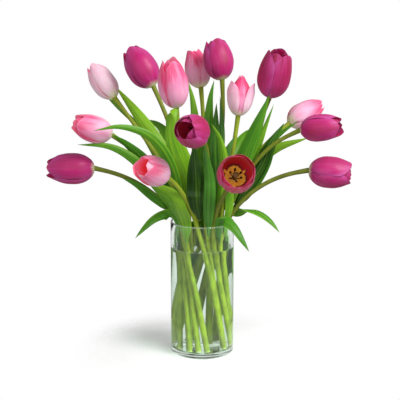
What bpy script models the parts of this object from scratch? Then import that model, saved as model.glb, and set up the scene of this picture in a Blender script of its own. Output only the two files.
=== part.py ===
"""Fifteen cut tulips with their leaves in a cylinder vase of water.

The origin is the centre of the vase's flat underside, +Z is up and -Y is the front.
Tables and dimensions are in millimetres; MM turns them into metres at the end.
Stems cross the vase in a florist's spiral, lean on each other and fan out above the rim.
Each bloom is one cup, because its six petals grow together at the base. Each leaf is a thin blade.
"""

from math import cos, radians, sin, tau

import bmesh
import bpy
import numpy as np
from mathutils import Quaternion, Vector
from mathutils.bvhtree import BVHTree

MM = 0.001

# Vase and water
VASE_RADIUS = 47.5
VASE_HEIGHT = 205.0
VASE_WALL = 3.0
VASE_FLOOR = 8.0
VASE_HEEL = 4.0
VASE_SEGMENTS = 32
WATER_LEVEL = 166.0
WATER_SEGMENTS = 28
BORE = VASE_RADIUS - VASE_WALL

# Stems
GAP = 0.3
STEM_RADIUS = 3.2
FOOT_RADIUS = 4.2
STEM_REST = VASE_FLOOR + 1.6
STEM_SLACK = 1.3
STEM_SAMPLES = 18
STEM_STEP = 5
HEAD_GAP = 1.3
ARRIVAL = 1.1
RIM_CLEARANCE = 1.0
SETTLING_ROUNDS = 90

# Tunnels that the stems leave in the water
WATER_GAP = 0.8
WATER_SLACK = 0.6
TUNNEL_RISE = 6.0
TUNNEL_SINK = 8.0

# Blooms
BLOOM_SIDES = 12
PETAL_WALL = 2.0
RECEPTACLE = 4.0
LOBE_DROP = 0.10
FLARE_DROP = 0.2
WIDEST = 0.42
SHOULDER = 0.72

# Leaves
LEAF_STATIONS = 14
LEAF_THICKNESS = 1.4
LEAF_CLEARANCE = 2.0
LEAF_FOLD = 0.13
RAY_STEP = 0.05

MAGENTA = (0.47, 0.03, 0.22)
PINK = (0.86, 0.30, 0.47)
ROSE = (0.80, 0.12, 0.25)
LEAF_GREEN = (0.08, 0.26, 0.04)
STEM_GREEN = (0.28, 0.42, 0.08)
GLASS_TINT = (0.90, 0.96, 0.94)
WATER_TINT = (0.86, 0.94, 0.90)

# Each tulip: bloom base, aim from base to tip, bloom length, bloom width, mouth width as a share
# of bloom width, flare of the outer petals as the same share, turn of the petals in degrees,
# then the stem's bearing and radius at the rim, its turn on the way down, how long it holds its lean
# above the rim as a share of its reach, and the petal colour.
TULIPS = {
    "01": ((-158, -20, 288), (-1.00, -0.10, 0.02), 70, 45, 0.60, 0.0, 20, 180, 38, 62, 0.8, MAGENTA),
    "02": ((-131, -40, 341), (-0.84, -0.40, 0.36), 60, 38, 0.60, 0.0, 0, -160, 35, 62, 0.8, PINK),
    "03": ((-133, 60, 382), (-0.58, 0.31, 0.75), 64, 37, 0.45, 0.0, 50, 150, 35, 62, 1.3, PINK),
    "04": ((-73, 30, 403), (-0.53, 0.22, 0.82), 67, 46, 0.60, 0.0, 30, 168, 20, 50, 0.8, MAGENTA),
    "05": ((-37, -50, 382), (-0.12, -0.20, 0.97), 72, 42, 0.55, 0.0, 90, -140, 35, 62, 0.8, PINK),
    "06": ((-2, 88, 394), (-0.19, 0.36, 0.91), 60, 38, 0.60, 0.0, 10, 102, 35, 62, 0.8, PINK),
    "07": ((30, 52, 410), (-0.18, 0.24, 0.95), 62, 44, 0.75, 0.0, 70, 75, 35, 62, 0.8, MAGENTA),
    "08": ((52, -20, 366), (0.09, 0.08, 0.99), 59, 36, 0.40, 0.8, 90, -38, 35, 62, 0.8, PINK),
    "09": ((98, -10, 392), (0.17, -0.27, 0.95), 72, 47, 0.70, 0.0, 40, 20, 18, 50, 0.8, MAGENTA),
    "10": ((133, 62, 342), (0.81, 0.39, 0.43), 64, 38, 0.50, 0.0, 0, 45, 35, 62, 1.0, PINK),
    "11": ((144, -10, 343), (0.93, -0.33, 0.16), 62, 39, 0.65, 0.0, 60, 10, 35, 62, 1.15, MAGENTA),
    "12": ((158, 0, 281), (0.99, -0.08, -0.06), 65, 46, 0.70, 0.1, 0, -15, 38, 62, 1.05, MAGENTA),
    "13": ((-3, -108, 353), (-0.40, -0.87, 0.28), 56, 45, 0.66, 0.0, 30, -78, 27, 62, 0.8, MAGENTA),
    "14": ((-52, -90, 291), (-0.60, -0.70, 0.38), 54, 41, 0.70, 0.0, 80, -103, 35, 72, 0.8, ROSE),
    "15": ((44, -118, 294), (0.08, -0.92, 0.38), 46, 51, 0.90, 0.0, 30, -62, 35, 62, 0.8, ROSE),
}

FRONT = (0.0, -1.0, 0.15)
BACK = (0.0, 1.0, 0.15)
UP = (0.0, -0.25, 1.0)

# Each leaf: points from base to tip, width at its widest, the way it faces at base and tip, and how
# deep it reaches for what it lies on. Leaves are laid in this order, from the middle outwards.
LEAVES = {
    "leaf_upright_back": (
        [(7, 16, 226), (7, 22, 290), (9, 28, 340), (12, 34, 382), (18, 38, 412)],
        20, FRONT, FRONT, 10,
    ),
    "leaf_back_centre": (
        [(-6, 26, 226), (-7, 36, 290), (-10, 48, 342), (-15, 54, 382), (-23, 57, 412)],
        17, FRONT, FRONT, 10,
    ),
    "leaf_narrow_back": (
        [(16, 4, 228), (25, 5, 288), (29, 6, 333), (28, 8, 367), (26, 10, 392)],
        12, FRONT, FRONT, 10,
    ),
    "leaf_dark_narrow": (
        [(22, -2, 218), (22, -2, 264), (20, 2, 308), (20, 6, 348), (21, 10, 381)],
        20, FRONT, FRONT, 10,
    ),
    "leaf_bright_right": (
        [(36, 26, 212), (57, 30, 251), (83, 33, 286), (113, 34, 309), (161, 32, 325)],
        20, FRONT, FRONT, 10,
    ),
    "leaf_under_right_stem": (
        [(42, 18, 222), (60, 26, 255), (84, 31, 294), (114, 34, 327), (146, 36, 351)],
        12, FRONT, FRONT, 10,
    ),
    "leaf_slim_right": (
        [(36, 18, 224), (60, 20, 265), (82, 22, 309), (95, 24, 345), (107, 26, 377)],
        12, FRONT, FRONT, 10,
    ),
    "leaf_dark_right": (
        [(48, 22, 219), (69, 18, 251), (90, 14, 287), (102, 12, 317), (122, 16, 350)],
        26, FRONT, FRONT, 10,
    ),
    "leaf_slim_left": (
        [(-46, 44, 232), (-72, 62, 292), (-100, 78, 336), (-134, 92, 367), (-177, 104, 411)],
        9, FRONT, FRONT, 10,
    ),
    "leaf_broad_upper_left": (
        [(-38, 32, 228), (-50, 44, 277), (-72, 57, 318), (-101, 78, 356), (-136, 102, 396)],
        24, FRONT, FRONT, 10,
    ),
    "leaf_dark_left": (
        [(-36, -14, 223), (-62, -22, 268), (-86, -28, 303), (-110, -34, 327), (-130, -44, 343)],
        20, FRONT, FRONT, 10,
    ),
    "leaf_beside_left_stem": (
        [(-50, -13, 222), (-62, -16, 234), (-79, -18, 249), (-98, -20, 264), (-118, -22, 274)],
        12, FRONT, FRONT, 10,
    ),
    "leaf_dark_centre": (
        [(-3, -33, 214), (-8, -43, 240), (-9, -62, 280), (-11, -86, 318), (-12, -98, 337)],
        28, FRONT, FRONT, 16,
    ),
    "leaf_middle_right": (
        [(16, -26, 218), (23, -34, 262), (31, -40, 300), (38, -44, 322), (47, -46, 340)],
        21, FRONT, FRONT, 10,
    ),
    "leaf_broad_right": (
        [(35, -8, 222), (50, -14, 269), (67, -20, 318), (81, -26, 355), (97, -30, 398)],
        26, FRONT, FRONT, 10,
    ),
    "leaf_front_centre": (
        [(9, -37, 190), (9, -38, 208), (9, -46, 232), (10, -62, 280), (4, -77, 320), (1, -84, 340)],
        18, (0.15, -1.0, 0.0), FRONT, 12,
    ),
    "leaf_folded_centre": (
        [(-16, -26, 226), (-22, -42, 280), (-39, -56, 333), (-42, -63, 369),
         (-41, -68, 382), (-39, -76, 379), (-37, -80, 360)],
        30, FRONT, (0.0, -0.6, 0.8), 9,
    ),
    "leaf_long_left": (
        [(-26, -38, 225), (-44, -50, 297), (-71, -62, 340), (-113, -76, 358), (-154, -82, 353)],
        15, FRONT, FRONT, 12,
    ),
    "leaf_low_left": (
        [(-40, -26, 219), (-66, -38, 264), (-95, -48, 303), (-132, -54, 326), (-179, -60, 330)],
        15, FRONT, FRONT, 10,
    ),
    "leaf_broad_front_left": (
        [(-24, -30, 178), (-26, -32, 205), (-32, -42, 228),
         (-41, -54, 252), (-61, -62, 267), (-80, -70, 279)],
        27, (-0.6, -0.8, 0.0), FRONT, 5,
    ),
    "leaf_curled_front": (
        [(20, -26, 224), (28, -46, 262), (31, -60, 308), (24, -67, 341), (12, -74, 363)],
        15, FRONT, FRONT, 10,
    ),
    "leaf_front_right": (
        [(35, -19, 178), (36, -19, 206), (40, -23, 228), (41, -31, 256), (42, -42, 279), (46, -52, 300)],
        16, (0.88, -0.47, 0.0), FRONT, 4,
    ),
    "leaf_drooping_left": (
        [(-37, -15, 176), (-40, -17, 208), (-51, -22, 219), (-62, -27, 219),
         (-74, -31, 213), (-86, -34, 201), (-99, -36, 186)],
        17, (-1.0, -0.3, 0.2), (-0.1, -1.0, 0.6), 4,
    ),
    "leaf_drooping_right": (
        [(39, 14, 190), (40, 14, 210), (54, 8, 217), (66, 2, 221),
         (79, -5, 220), (93, -12, 214), (104, -18, 205), (115, -22, 191)],
        17, (1.0, 0.3, 0.2), (0.1, -1.0, 0.6), 4,
    ),
    "leaf_drooping_front": (
        [(25, -31, 178), (25, -31, 202), (28, -38, 214), (36, -47, 214),
         (47, -56, 206), (57, -63, 192), (68, -68, 174)],
        17, (0.64, -0.76, 0.1), (0.1, -1.0, 0.5), 4,
    ),
    "leaf_rear_left": (
        [(-14, 38, 212), (-30, 58, 262), (-46, 84, 305), (-66, 112, 330), (-92, 138, 338)],
        24, BACK, BACK, 10,
    ),
    "leaf_rear_right": (
        [(18, 36, 212), (34, 56, 256), (52, 86, 296), (72, 116, 318), (98, 140, 322)],
        24, BACK, BACK, 10,
    ),
    "leaf_drooping_rear": (
        [(1, 41, 180), (2, 41, 212), (4, 47, 223), (9, 66, 229), (14, 92, 220), (18, 112, 196)],
        15, (0.0, 1.0, 0.2), (0.0, 0.25, 1.0), 4,
    ),
}


def unit(vector):
    """The vector, or each row of vectors, at length one."""
    vector = np.asarray(vector, float)
    return vector / np.linalg.norm(vector, axis=-1, keepdims=True)


def polar(bearing, radius, height):
    """A point at a bearing in degrees and a radius about the vase's axis."""
    return np.array([radius * cos(radians(bearing)), radius * sin(radians(bearing)), height])


def stem_radius(share):
    """A stem's radius along its length: thick at the cut end, even from the middle up."""
    return STEM_RADIUS + (FOOT_RADIUS - STEM_RADIUS) * np.clip(1 - np.asarray(share) / 0.6, 0, 1)


def stem_rings(path):
    """The points of a stem that carry a ring: twice as far apart inside the vase as above it."""
    deep = int(np.argmax(path[:, 2] > VASE_HEIGHT))
    last = len(path) - 1
    return [*range(0, deep, 2 * STEM_STEP), *range(deep, last - STEM_STEP // 2 + 1, STEM_STEP), last]


def hermite(start, leave, end, arrive, share):
    """A cubic from start to end that leaves and arrives along the given vectors."""
    t = np.asarray(share, float)[:, None]
    return (
        (2 * t**3 - 3 * t**2 + 1) * start
        + (t**3 - 2 * t**2 + t) * leave
        + (3 * t**2 - 2 * t**3) * end
        + (t**3 - t**2) * arrive
    )


def along(points, count):
    """A smooth curve through the points, cut into count steps of equal length."""
    points = np.asarray(points, float)
    ends = np.vstack([2 * points[0] - points[1], points, 2 * points[-1] - points[-2]])
    share = np.linspace(0, 1, 24, endpoint=False)
    runs = [
        hermite(ends[i], (ends[i + 1] - ends[i - 1]) / 2, ends[i + 1], (ends[i + 2] - ends[i]) / 2, share)
        for i in range(1, len(ends) - 2)
    ]
    curve = np.vstack([*runs, points[-1:]])
    run = np.concatenate([[0], np.cumsum(np.linalg.norm(np.diff(curve, axis=0), axis=1))])
    steps = np.linspace(0, run[-1], count + 1)
    return np.column_stack([np.interp(steps, run, curve[:, axis]) for axis in range(3)])


def stem_path(base, aim, bearing, radius, turn, hold):
    """A stem's centre line: up through the vase to the rim, then over to the bloom's base."""
    head = np.array(base, float) - unit(aim) * HEAD_GAP
    foot = polar(bearing + turn, radius, STEM_REST)
    neck = polar(bearing, radius, VASE_HEIGHT)
    reach = np.linalg.norm(head - neck)
    chord = (head - neck) / reach
    climb = neck - foot
    lean = unit(0.6 * unit(climb) + 0.4 * chord)
    share = np.linspace(0, 1, 33)
    lower = hermite(foot, climb, neck, lean * np.linalg.norm(climb), share)
    arrive = unit(0.75 * unit(aim) + 0.25 * chord)
    upper = hermite(neck, lean * reach * hold, head, arrive * reach * ARRIVAL, share)
    return along(np.vstack([lower[::8], upper[8::8]]), STEM_SAMPLES * STEM_STEP)


def settle(paths, blooms):
    """Parts stems that are too close, clears them of other blooms, and keeps them inside the glass."""
    paths = np.array(paths)
    count, samples = paths.shape[:2]
    owner = np.repeat(np.arange(count), samples)
    thick = np.tile(stem_radius(np.linspace(0, 1, samples)), count)
    loose = np.clip((1 - np.linspace(0, 1, samples)) * 8, 0, 1)[None, :, None]
    room = STEM_RADIUS + RIM_CLEARANCE
    balls = [(centre, reach + room, i) for i, ball in enumerate(blooms) for centre, reach in ball]
    for _ in range(SETTLING_ROUNDS):
        flat = paths.reshape(-1, 3)
        away = flat[:, None] - flat[None]
        distance = np.linalg.norm(away, axis=2)
        distance[owner[:, None] == owner[None]] = 1e9
        near = distance.argmin(axis=1)
        rows = np.arange(len(flat))
        lack = np.clip(thick + thick[near] + STEM_SLACK - distance[rows, near], 0, None) / 2
        shift = away[rows, near] / distance[rows, near][:, None] * lack[:, None]
        for centre, reach, bloom in balls:
            out = flat - centre
            depth = np.clip(reach - np.linalg.norm(out, axis=1), 0, None) * (owner != bloom)
            shift += unit(out) * depth[:, None]
        shift = shift.reshape(paths.shape)
        shift[:, 1:-1] = (shift[:, :-2] + 2 * shift[:, 1:-1] + shift[:, 2:]) / 4
        shift[..., 2] *= paths[..., 2] > STEM_REST + 10
        paths = paths + shift * loose
        paths[:, 2:-2] += 0.1 * loose[:, 2:-2] * (paths[:, 1:-3] + paths[:, 3:-1] - 2 * paths[:, 2:-2])
        across = np.linalg.norm(paths[..., :2], axis=2)
        limit = BORE - thick[:samples] - RIM_CLEARANCE
        inside = (paths[..., 2] < VASE_HEIGHT + 6) & (across > limit)
        paths[..., :2] *= np.where(inside, limit / np.maximum(across, 1), 1)[..., None]
    return paths


def bloom_radius(share, width, mouth):
    """The bloom's outer radius at a share of its length: a round base, then a curve in to the mouth."""
    share = np.asarray(share, float)
    low = np.sqrt(np.clip(1 - (1 - share / WIDEST) ** 2, 0, 1))
    high = 1 - (1 - mouth) * np.clip((share - WIDEST) / (1 - WIDEST), 0, 1) ** 2.4
    return width / 2 * np.where(share < WIDEST, low, high)


def mesh_object(name, points, faces, colour, roughness=0.5, alpha=1.0):
    """A smooth-shaded object from points in millimetres, in its own material."""
    mesh = bpy.data.meshes.new(name)
    mesh.from_pydata((np.asarray(points) * MM).tolist(), [], faces)
    mesh.shade_smooth()
    mesh.set_sharp_from_angle(angle=radians(50))
    obj = bpy.data.objects.new(name, mesh)
    bpy.context.scene.collection.objects.link(obj)
    finish(obj, colour, roughness, alpha)
    return obj


def finish(obj, colour, roughness, alpha=1.0):
    """Gives an object its own Principled material."""
    material = bpy.data.materials.new(obj.name)
    material.use_nodes = True
    shader = material.node_tree.nodes["Principled BSDF"]
    shader.inputs["Base Color"].default_value = (*colour, 1)
    shader.inputs["Roughness"].default_value = roughness
    shader.inputs["Metallic"].default_value = 0
    shader.inputs["Alpha"].default_value = alpha
    material.diffuse_color = (*colour, alpha)
    obj.data.materials.append(material)


def turned(name, profile, segments, colour, alpha):
    """A body of revolution. The profile runs from the axis underneath, out, up and back to the axis."""
    body = bmesh.new()
    corners = [body.verts.new((r * MM, 0, z * MM)) for r, z in profile]
    edges = [body.edges.new(pair) for pair in zip(corners, corners[1:])]
    bmesh.ops.spin(body, geom=corners + edges, axis=(0, 0, 1), cent=(0, 0, 0), angle=tau, steps=segments)
    bmesh.ops.remove_doubles(body, verts=body.verts, dist=0.00005)
    bmesh.ops.recalc_face_normals(body, faces=body.faces)
    mesh = bpy.data.meshes.new(name)
    body.to_mesh(mesh)
    body.free()
    mesh.shade_smooth()
    mesh.set_sharp_from_angle(angle=radians(50))
    obj = bpy.data.objects.new(name, mesh)
    bpy.context.scene.collection.objects.link(obj)
    finish(obj, colour, 0.05, alpha)
    return obj


def arc(centre_r, centre_z, radius, start, end, steps):
    """Points of a profile along an arc, with its angles in degrees."""
    angles = np.radians(np.linspace(start, end, steps + 1))
    return [(centre_r + radius * cos(a), centre_z + radius * sin(a)) for a in angles]


def make_vase():
    """A straight glass cylinder with a thick floor, a rounded heel and a rounded rim."""
    lip = VASE_WALL / 2
    profile = [
        (0, 0),
        *arc(VASE_RADIUS - VASE_HEEL, VASE_HEEL, VASE_HEEL, -90, 0, 2),
        *arc(VASE_RADIUS - lip, VASE_HEIGHT - lip, lip, 0, 180, 3),
        *arc(BORE - VASE_HEEL, VASE_FLOOR + VASE_HEEL, VASE_HEEL, 0, -90, 2),
        (0, VASE_FLOOR),
    ]
    return turned("vase", profile, VASE_SEGMENTS, GLASS_TINT, 0.35)


def make_water(paths):
    """The water: what fills the vase up to its level, less a slightly wide tunnel for each stem."""
    reach = BORE - WATER_GAP
    floor = VASE_FLOOR + GAP
    profile = [
        (0, floor),
        *arc(reach - VASE_HEEL, floor + VASE_HEEL, VASE_HEEL, -90, 0, 2),
        (reach, WATER_LEVEL),
        (0, WATER_LEVEL),
    ]
    water = turned("water", profile, WATER_SEGMENTS, WATER_TINT, 0.4)
    tunnels = []
    for number, path in zip(TULIPS, paths):
        rings = stem_rings(path)
        rings = rings[: 1 + int(np.argmax(path[rings, 2] > WATER_LEVEL + TUNNEL_RISE))]
        below = path[0] - TUNNEL_SINK * unit(path[rings[1]] - path[0])
        radii = stem_radius(np.array([0, *rings]) / (len(path) - 1)) + WATER_SLACK
        tunnel = tube("tunnel_" + number, [below, *path[rings]], radii)
        tunnel.hide_render = True
        tunnel.display_type = "WIRE"
        cut = water.modifiers.new("stem " + number, "BOOLEAN")
        cut.operation = "DIFFERENCE"
        cut.object = tunnel
        tunnels.append(tunnel)
    keep_largest(water)
    for tunnel in tunnels:
        bpy.data.objects.remove(tunnel, do_unlink=True)
    return water


def keep_largest(obj):
    """Applies an object's modifiers and drops any loose splinter that they cut off."""
    graph = bpy.context.evaluated_depsgraph_get()
    body = bmesh.new()
    body.from_object(obj, graph)
    left = set(body.verts)
    islands = []
    while left:
        island = {left.pop()}
        edge = set(island)
        while edge:
            edge = {e.other_vert(v) for v in edge for e in v.link_edges} - island
            island |= edge
        left -= island
        islands.append(island)
    islands.sort(key=len)
    for island in islands[:-1]:
        bmesh.ops.delete(body, geom=list(island), context="VERTS")
    obj.modifiers.clear()
    body.to_mesh(obj.data)
    body.free()


def tube(name, points, radii):
    """A six-sided tube, closed at both ends, along a line of points with a radius at each."""
    points = np.asarray(points)
    ahead = unit(np.gradient(points, axis=0))
    side = unit(np.cross(ahead[0], (0.3, 1.0, 0.2)))
    rings = []
    for point, way, radius in zip(points, ahead, radii):
        side = unit(side - way * (side @ way))
        other = np.cross(way, side)
        rings.append([point + radius * (cos(a) * side + sin(a) * other) for a in np.arange(6) * tau / 6])
    vertices = np.concatenate(rings)
    faces = [
        (6 * i + j, 6 * i + (j + 1) % 6, 6 * i + 6 + (j + 1) % 6, 6 * i + 6 + j)
        for i in range(len(points) - 1)
        for j in range(6)
    ]
    last = len(vertices) - 6
    faces += [tuple(range(5, -1, -1)), tuple(last + j for j in range(6))]
    return mesh_object(name, vertices, faces, STEM_GREEN)


def make_bloom(name, base, aim, length, width, mouth, flare, turn, colour):
    """Six petals joined as one cup with a lobed rim and an open mouth, on a small flat receptacle."""
    angles = np.arange(BLOOM_SIDES) * tau / BLOOM_SIDES
    tips = np.arange(BLOOM_SIDES) % 2 == 0
    outer_tips = np.arange(BLOOM_SIDES) % 4 == 0
    rim_height = length * (1 - LOBE_DROP * ~tips - FLARE_DROP * flare * outer_tips)
    rim_radius = bloom_radius(1.0, width, mouth) + outer_tips * flare * width / 2
    rows = [(np.full(BLOOM_SIDES, RECEPTACLE), np.zeros(BLOOM_SIDES))]
    for share in (0.07, 0.22, WIDEST, SHOULDER):
        lift = outer_tips * flare * width / 2 * share**3
        rows.append((bloom_radius(share, width, mouth) + lift, np.full(BLOOM_SIDES, length * share)))
    rows.append((rim_radius, rim_height))
    rows.append((rim_radius - PETAL_WALL, rim_height))
    for share in (SHOULDER, WIDEST, 0.24):
        radius = bloom_radius(share, width, mouth) - PETAL_WALL
        rows.append((np.full(BLOOM_SIDES, radius), np.full(BLOOM_SIDES, length * share + 1)))
    rows.append((np.full(BLOOM_SIDES, RECEPTACLE), np.full(BLOOM_SIDES, length * 0.13 + 1)))
    points = np.concatenate([np.column_stack([r * np.cos(angles), r * np.sin(angles), z]) for r, z in rows])
    count = BLOOM_SIDES
    faces = [
        (count * i + j, count * i + (j + 1) % count, count * (i + 1) + (j + 1) % count, count * (i + 1) + j)
        for i in range(len(rows) - 1)
        for j in range(count)
    ]
    last = len(points) - count
    faces += [tuple(range(count - 1, -1, -1)), tuple(last + j for j in range(count))]
    bloom = mesh_object(name, points, faces, colour)
    bloom.location = Vector(base) * MM
    bloom.rotation_mode = "QUATERNION"
    bloom.rotation_quaternion = Vector(aim).to_track_quat("Z", "Y") @ Quaternion((0, 0, 1), radians(turn))
    return bloom


def leaf_spread(share):
    """A leaf's width along its length, as a share of its widest: half at the base, a point at the tip."""
    share = np.asarray(share, float)
    swell = np.clip(share / 0.4, 0, 1)
    swell = 0.6 + 0.4 * swell * swell * (3 - 2 * swell)
    return swell * (1 - np.clip((share - 0.35) / 0.65, 0, 1) ** 1.9)


def blade_lines(points, width, face, face_tip):
    """A leaf's left edge, midrib and right edge, and the way that it faces at each station."""
    line = along(points, LEAF_STATIONS)
    share = np.linspace(0, 1, len(line))[:, None]
    ahead = unit(np.gradient(line, axis=0))
    facing = unit(unit(face) * (1 - share) + unit(face_tip) * share)
    side = unit(np.cross(ahead, facing))
    facing = np.cross(side, ahead)
    half = width / 2 * leaf_spread(share)
    fold = facing * half * 2 * LEAF_FOLD
    return line - side * half - fold, line, line + side * half - fold, facing


def hit_depth(tree, start, way, most):
    """How far a ray goes to the first face that looks back at it, past any piece that it starts in."""
    gone = 0.0
    while gone < most:
        place, normal, _, distance = tree.ray_cast(start + way * gone, way, most - gone)
        if place is None:
            return None
        gone += distance
        if normal.dot(way) < 0:
            return gone
        gone += RAY_STEP * MM
    return None


def lift_over(tree, lines, push, reach):
    """How far each station moves along push so that the blade clears what it would cut through."""
    left, middle, right = lines
    stations = len(middle)
    need = np.zeros(stations)
    for k in range(stations - 1):
        for a in np.linspace(0, 1, 5):
            low, mid, high = [row[k] * (1 - a) + row[k + 1] * a for row in (left, middle, right)]
            for b in np.linspace(-1, 1, 9):
                point = mid * (1 - abs(b)) + (low if b < 0 else high) * abs(b)
                start = Vector((point + push * reach) * MM)
                depth = hit_depth(tree, start, Vector(-push), 2 * reach * MM)
                if depth is not None:
                    need[k : k + 2] = np.maximum(need[k : k + 2], reach - depth / MM + LEAF_CLEARANCE)
    move = need.copy()
    for _ in range(60):
        padded = np.concatenate([move[:1], move, move[-1:]])
        move = np.maximum(need, 0.88 * (padded[:-2] + padded[2:]) / 2)
    return move


def make_leaf(name, tree, points, width, face, face_tip, reach):
    """A thin folded blade with a lens section, laid over the pieces behind it."""
    left, middle, right, facing = blade_lines(points, width, face, face_tip)
    push = unit(np.add(face, face_tip))
    move = lift_over(tree, (left, middle, right), push, reach)[:, None] * push
    half = facing * LEAF_THICKNESS / 2
    rows = np.stack([left, middle + half, right, middle - half], axis=1) + move[:, None]
    tip = rows[-1].mean(axis=0)
    vertices = np.vstack([rows[:-1].reshape(-1, 3), tip])
    faces = []
    last = 4 * LEAF_STATIONS - 4
    for here in range(0, last, 4):
        for edge, ridge in ((0, 1), (0, 3), (2, 1), (2, 3)):
            faces.append((here + edge, here + ridge, here + 4 + ridge))
            faces.append((here + edge, here + 4 + ridge, here + 4 + edge))
    faces += [(last + j, last + (j + 1) % 4, last + 4) for j in range(4)]
    faces.append((3, 2, 1, 0))
    leaf = mesh_object(name, vertices, faces, LEAF_GREEN)
    body = bmesh.new()
    body.from_mesh(leaf.data)
    bmesh.ops.recalc_face_normals(body, faces=body.faces)
    body.to_mesh(leaf.data)
    body.free()
    return leaf


def solid_tree(objects):
    """A search tree over the faces of all the objects, for rays."""
    vertices = []
    polygons = []
    for obj in objects:
        first = len(vertices)
        vertices += [obj.matrix_world @ v.co for v in obj.data.vertices]
        polygons += [[first + i for i in face.vertices] for face in obj.data.polygons]
    return BVHTree.FromPolygons(vertices, polygons)


def main():
    for obj in list(bpy.data.objects):
        bpy.data.objects.remove(obj, do_unlink=True)
    group = bpy.data.objects.new("tulips_in_vase", None)
    bpy.context.scene.collection.objects.link(group)
    paths = [stem_path(t[0], t[1], *t[7:11]) for t in TULIPS.values()]
    balls = []
    for base, aim, length, width, mouth, *_ in TULIPS.values():
        shares = (0.2, 0.45, 0.7, 0.9)
        balls.append([
            (np.array(base) + unit(aim) * length * s, float(bloom_radius(s, width, mouth))) for s in shares
        ])
    paths = settle(paths, balls)
    vase = make_vase()
    water = make_water(paths)
    stems = []
    for number, path in zip(TULIPS, paths):
        rings = stem_rings(path)
        stems.append(tube("stem_" + number, path[rings], stem_radius(np.array(rings) / (len(path) - 1))))
    blooms = [make_bloom("bloom_" + n, *t[:7], t[11]) for n, t in TULIPS.items()]
    bpy.context.view_layer.update()
    laid = stems + blooms
    for name, (points, width, face, face_tip, reach) in LEAVES.items():
        laid.append(make_leaf(name, solid_tree(laid), points, width, face, face_tip, reach))
    for obj in [vase, water, *laid]:
        obj.parent = group


main()
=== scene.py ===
"""Fifteen cut tulips with their leaves in a glass cylinder vase of water: the visual model.

The frame's origin is the centre of the vase's flat underside, +Z is up and -Y is the front.
Every length is in metres, apart from the tables of tulips and leaves, which are in millimetres.
Each petal, leaf, stem and wall is a surface worked out on a grid.
"""

from math import cos, pi, radians, sin, tau
from typing import NamedTuple

import bpy
import numpy as np
from bpy.props import FloatProperty, FloatVectorProperty, IntProperty, PointerProperty
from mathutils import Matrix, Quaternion, Vector


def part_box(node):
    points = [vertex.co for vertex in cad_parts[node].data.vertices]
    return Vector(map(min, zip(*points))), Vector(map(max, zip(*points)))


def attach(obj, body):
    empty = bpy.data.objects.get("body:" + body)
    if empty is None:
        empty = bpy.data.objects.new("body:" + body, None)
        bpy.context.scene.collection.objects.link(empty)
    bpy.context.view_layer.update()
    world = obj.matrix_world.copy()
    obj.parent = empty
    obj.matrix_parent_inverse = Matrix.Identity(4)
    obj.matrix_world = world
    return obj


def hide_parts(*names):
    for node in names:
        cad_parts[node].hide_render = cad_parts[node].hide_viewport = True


bl_info = {
    "name": "Tulips in a glass vase",
    "version": (1, 0, 0),
    "blender": (4, 5, 0),
    "location": "3D View > Sidebar > Tulips",
    "description": "Adds a bouquet of tulips, its vase and water, and a plain studio to show them in",
    "category": "Add Mesh",
}

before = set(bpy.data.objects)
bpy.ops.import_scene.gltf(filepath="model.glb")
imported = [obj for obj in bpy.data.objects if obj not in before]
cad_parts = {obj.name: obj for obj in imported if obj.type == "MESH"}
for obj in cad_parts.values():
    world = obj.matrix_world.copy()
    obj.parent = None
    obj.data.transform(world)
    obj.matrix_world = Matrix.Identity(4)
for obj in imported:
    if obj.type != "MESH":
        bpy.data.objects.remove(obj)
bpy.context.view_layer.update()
_, VASE_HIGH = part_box("vase")
_, WATER_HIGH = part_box("water")

VASE_RADIUS = VASE_HIGH.x
VASE_HEIGHT = VASE_HIGH.z
VASE_WALL = 0.003
DRAWN_RADIUS = 0.0475
BORE = DRAWN_RADIUS - VASE_WALL

# How a stem runs, as in the frame.
STEM_RADIUS = 0.0032
FOOT_RADIUS = 0.0042
STEM_REST = 0.0096
STEM_SLACK = 0.0013
STEM_STEPS = 90
HEAD_GAP = 0.0013
ARRIVAL = 1.1
SETTLING_ROUNDS = 90
CURVE_STEPS = 24
RIM = 0.205

# How a bloom and a leaf swell, as in the frame.
WIDEST = 0.42
LEAF_STATIONS = 14
LEAF_FOLD = 0.13

class Tulip(NamedTuple):
    """One row of the table of tulips, with its lengths turned into metres."""

    base: np.ndarray
    aim: tuple
    length: float
    width: float
    mouth: float
    flare: float
    turn: float
    bearing: float
    radius: float
    stem_turn: float
    hold: float
    finish: str
    outer_tone: float
    inner_tone: float
    stem_tone: float
    opened: float


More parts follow.
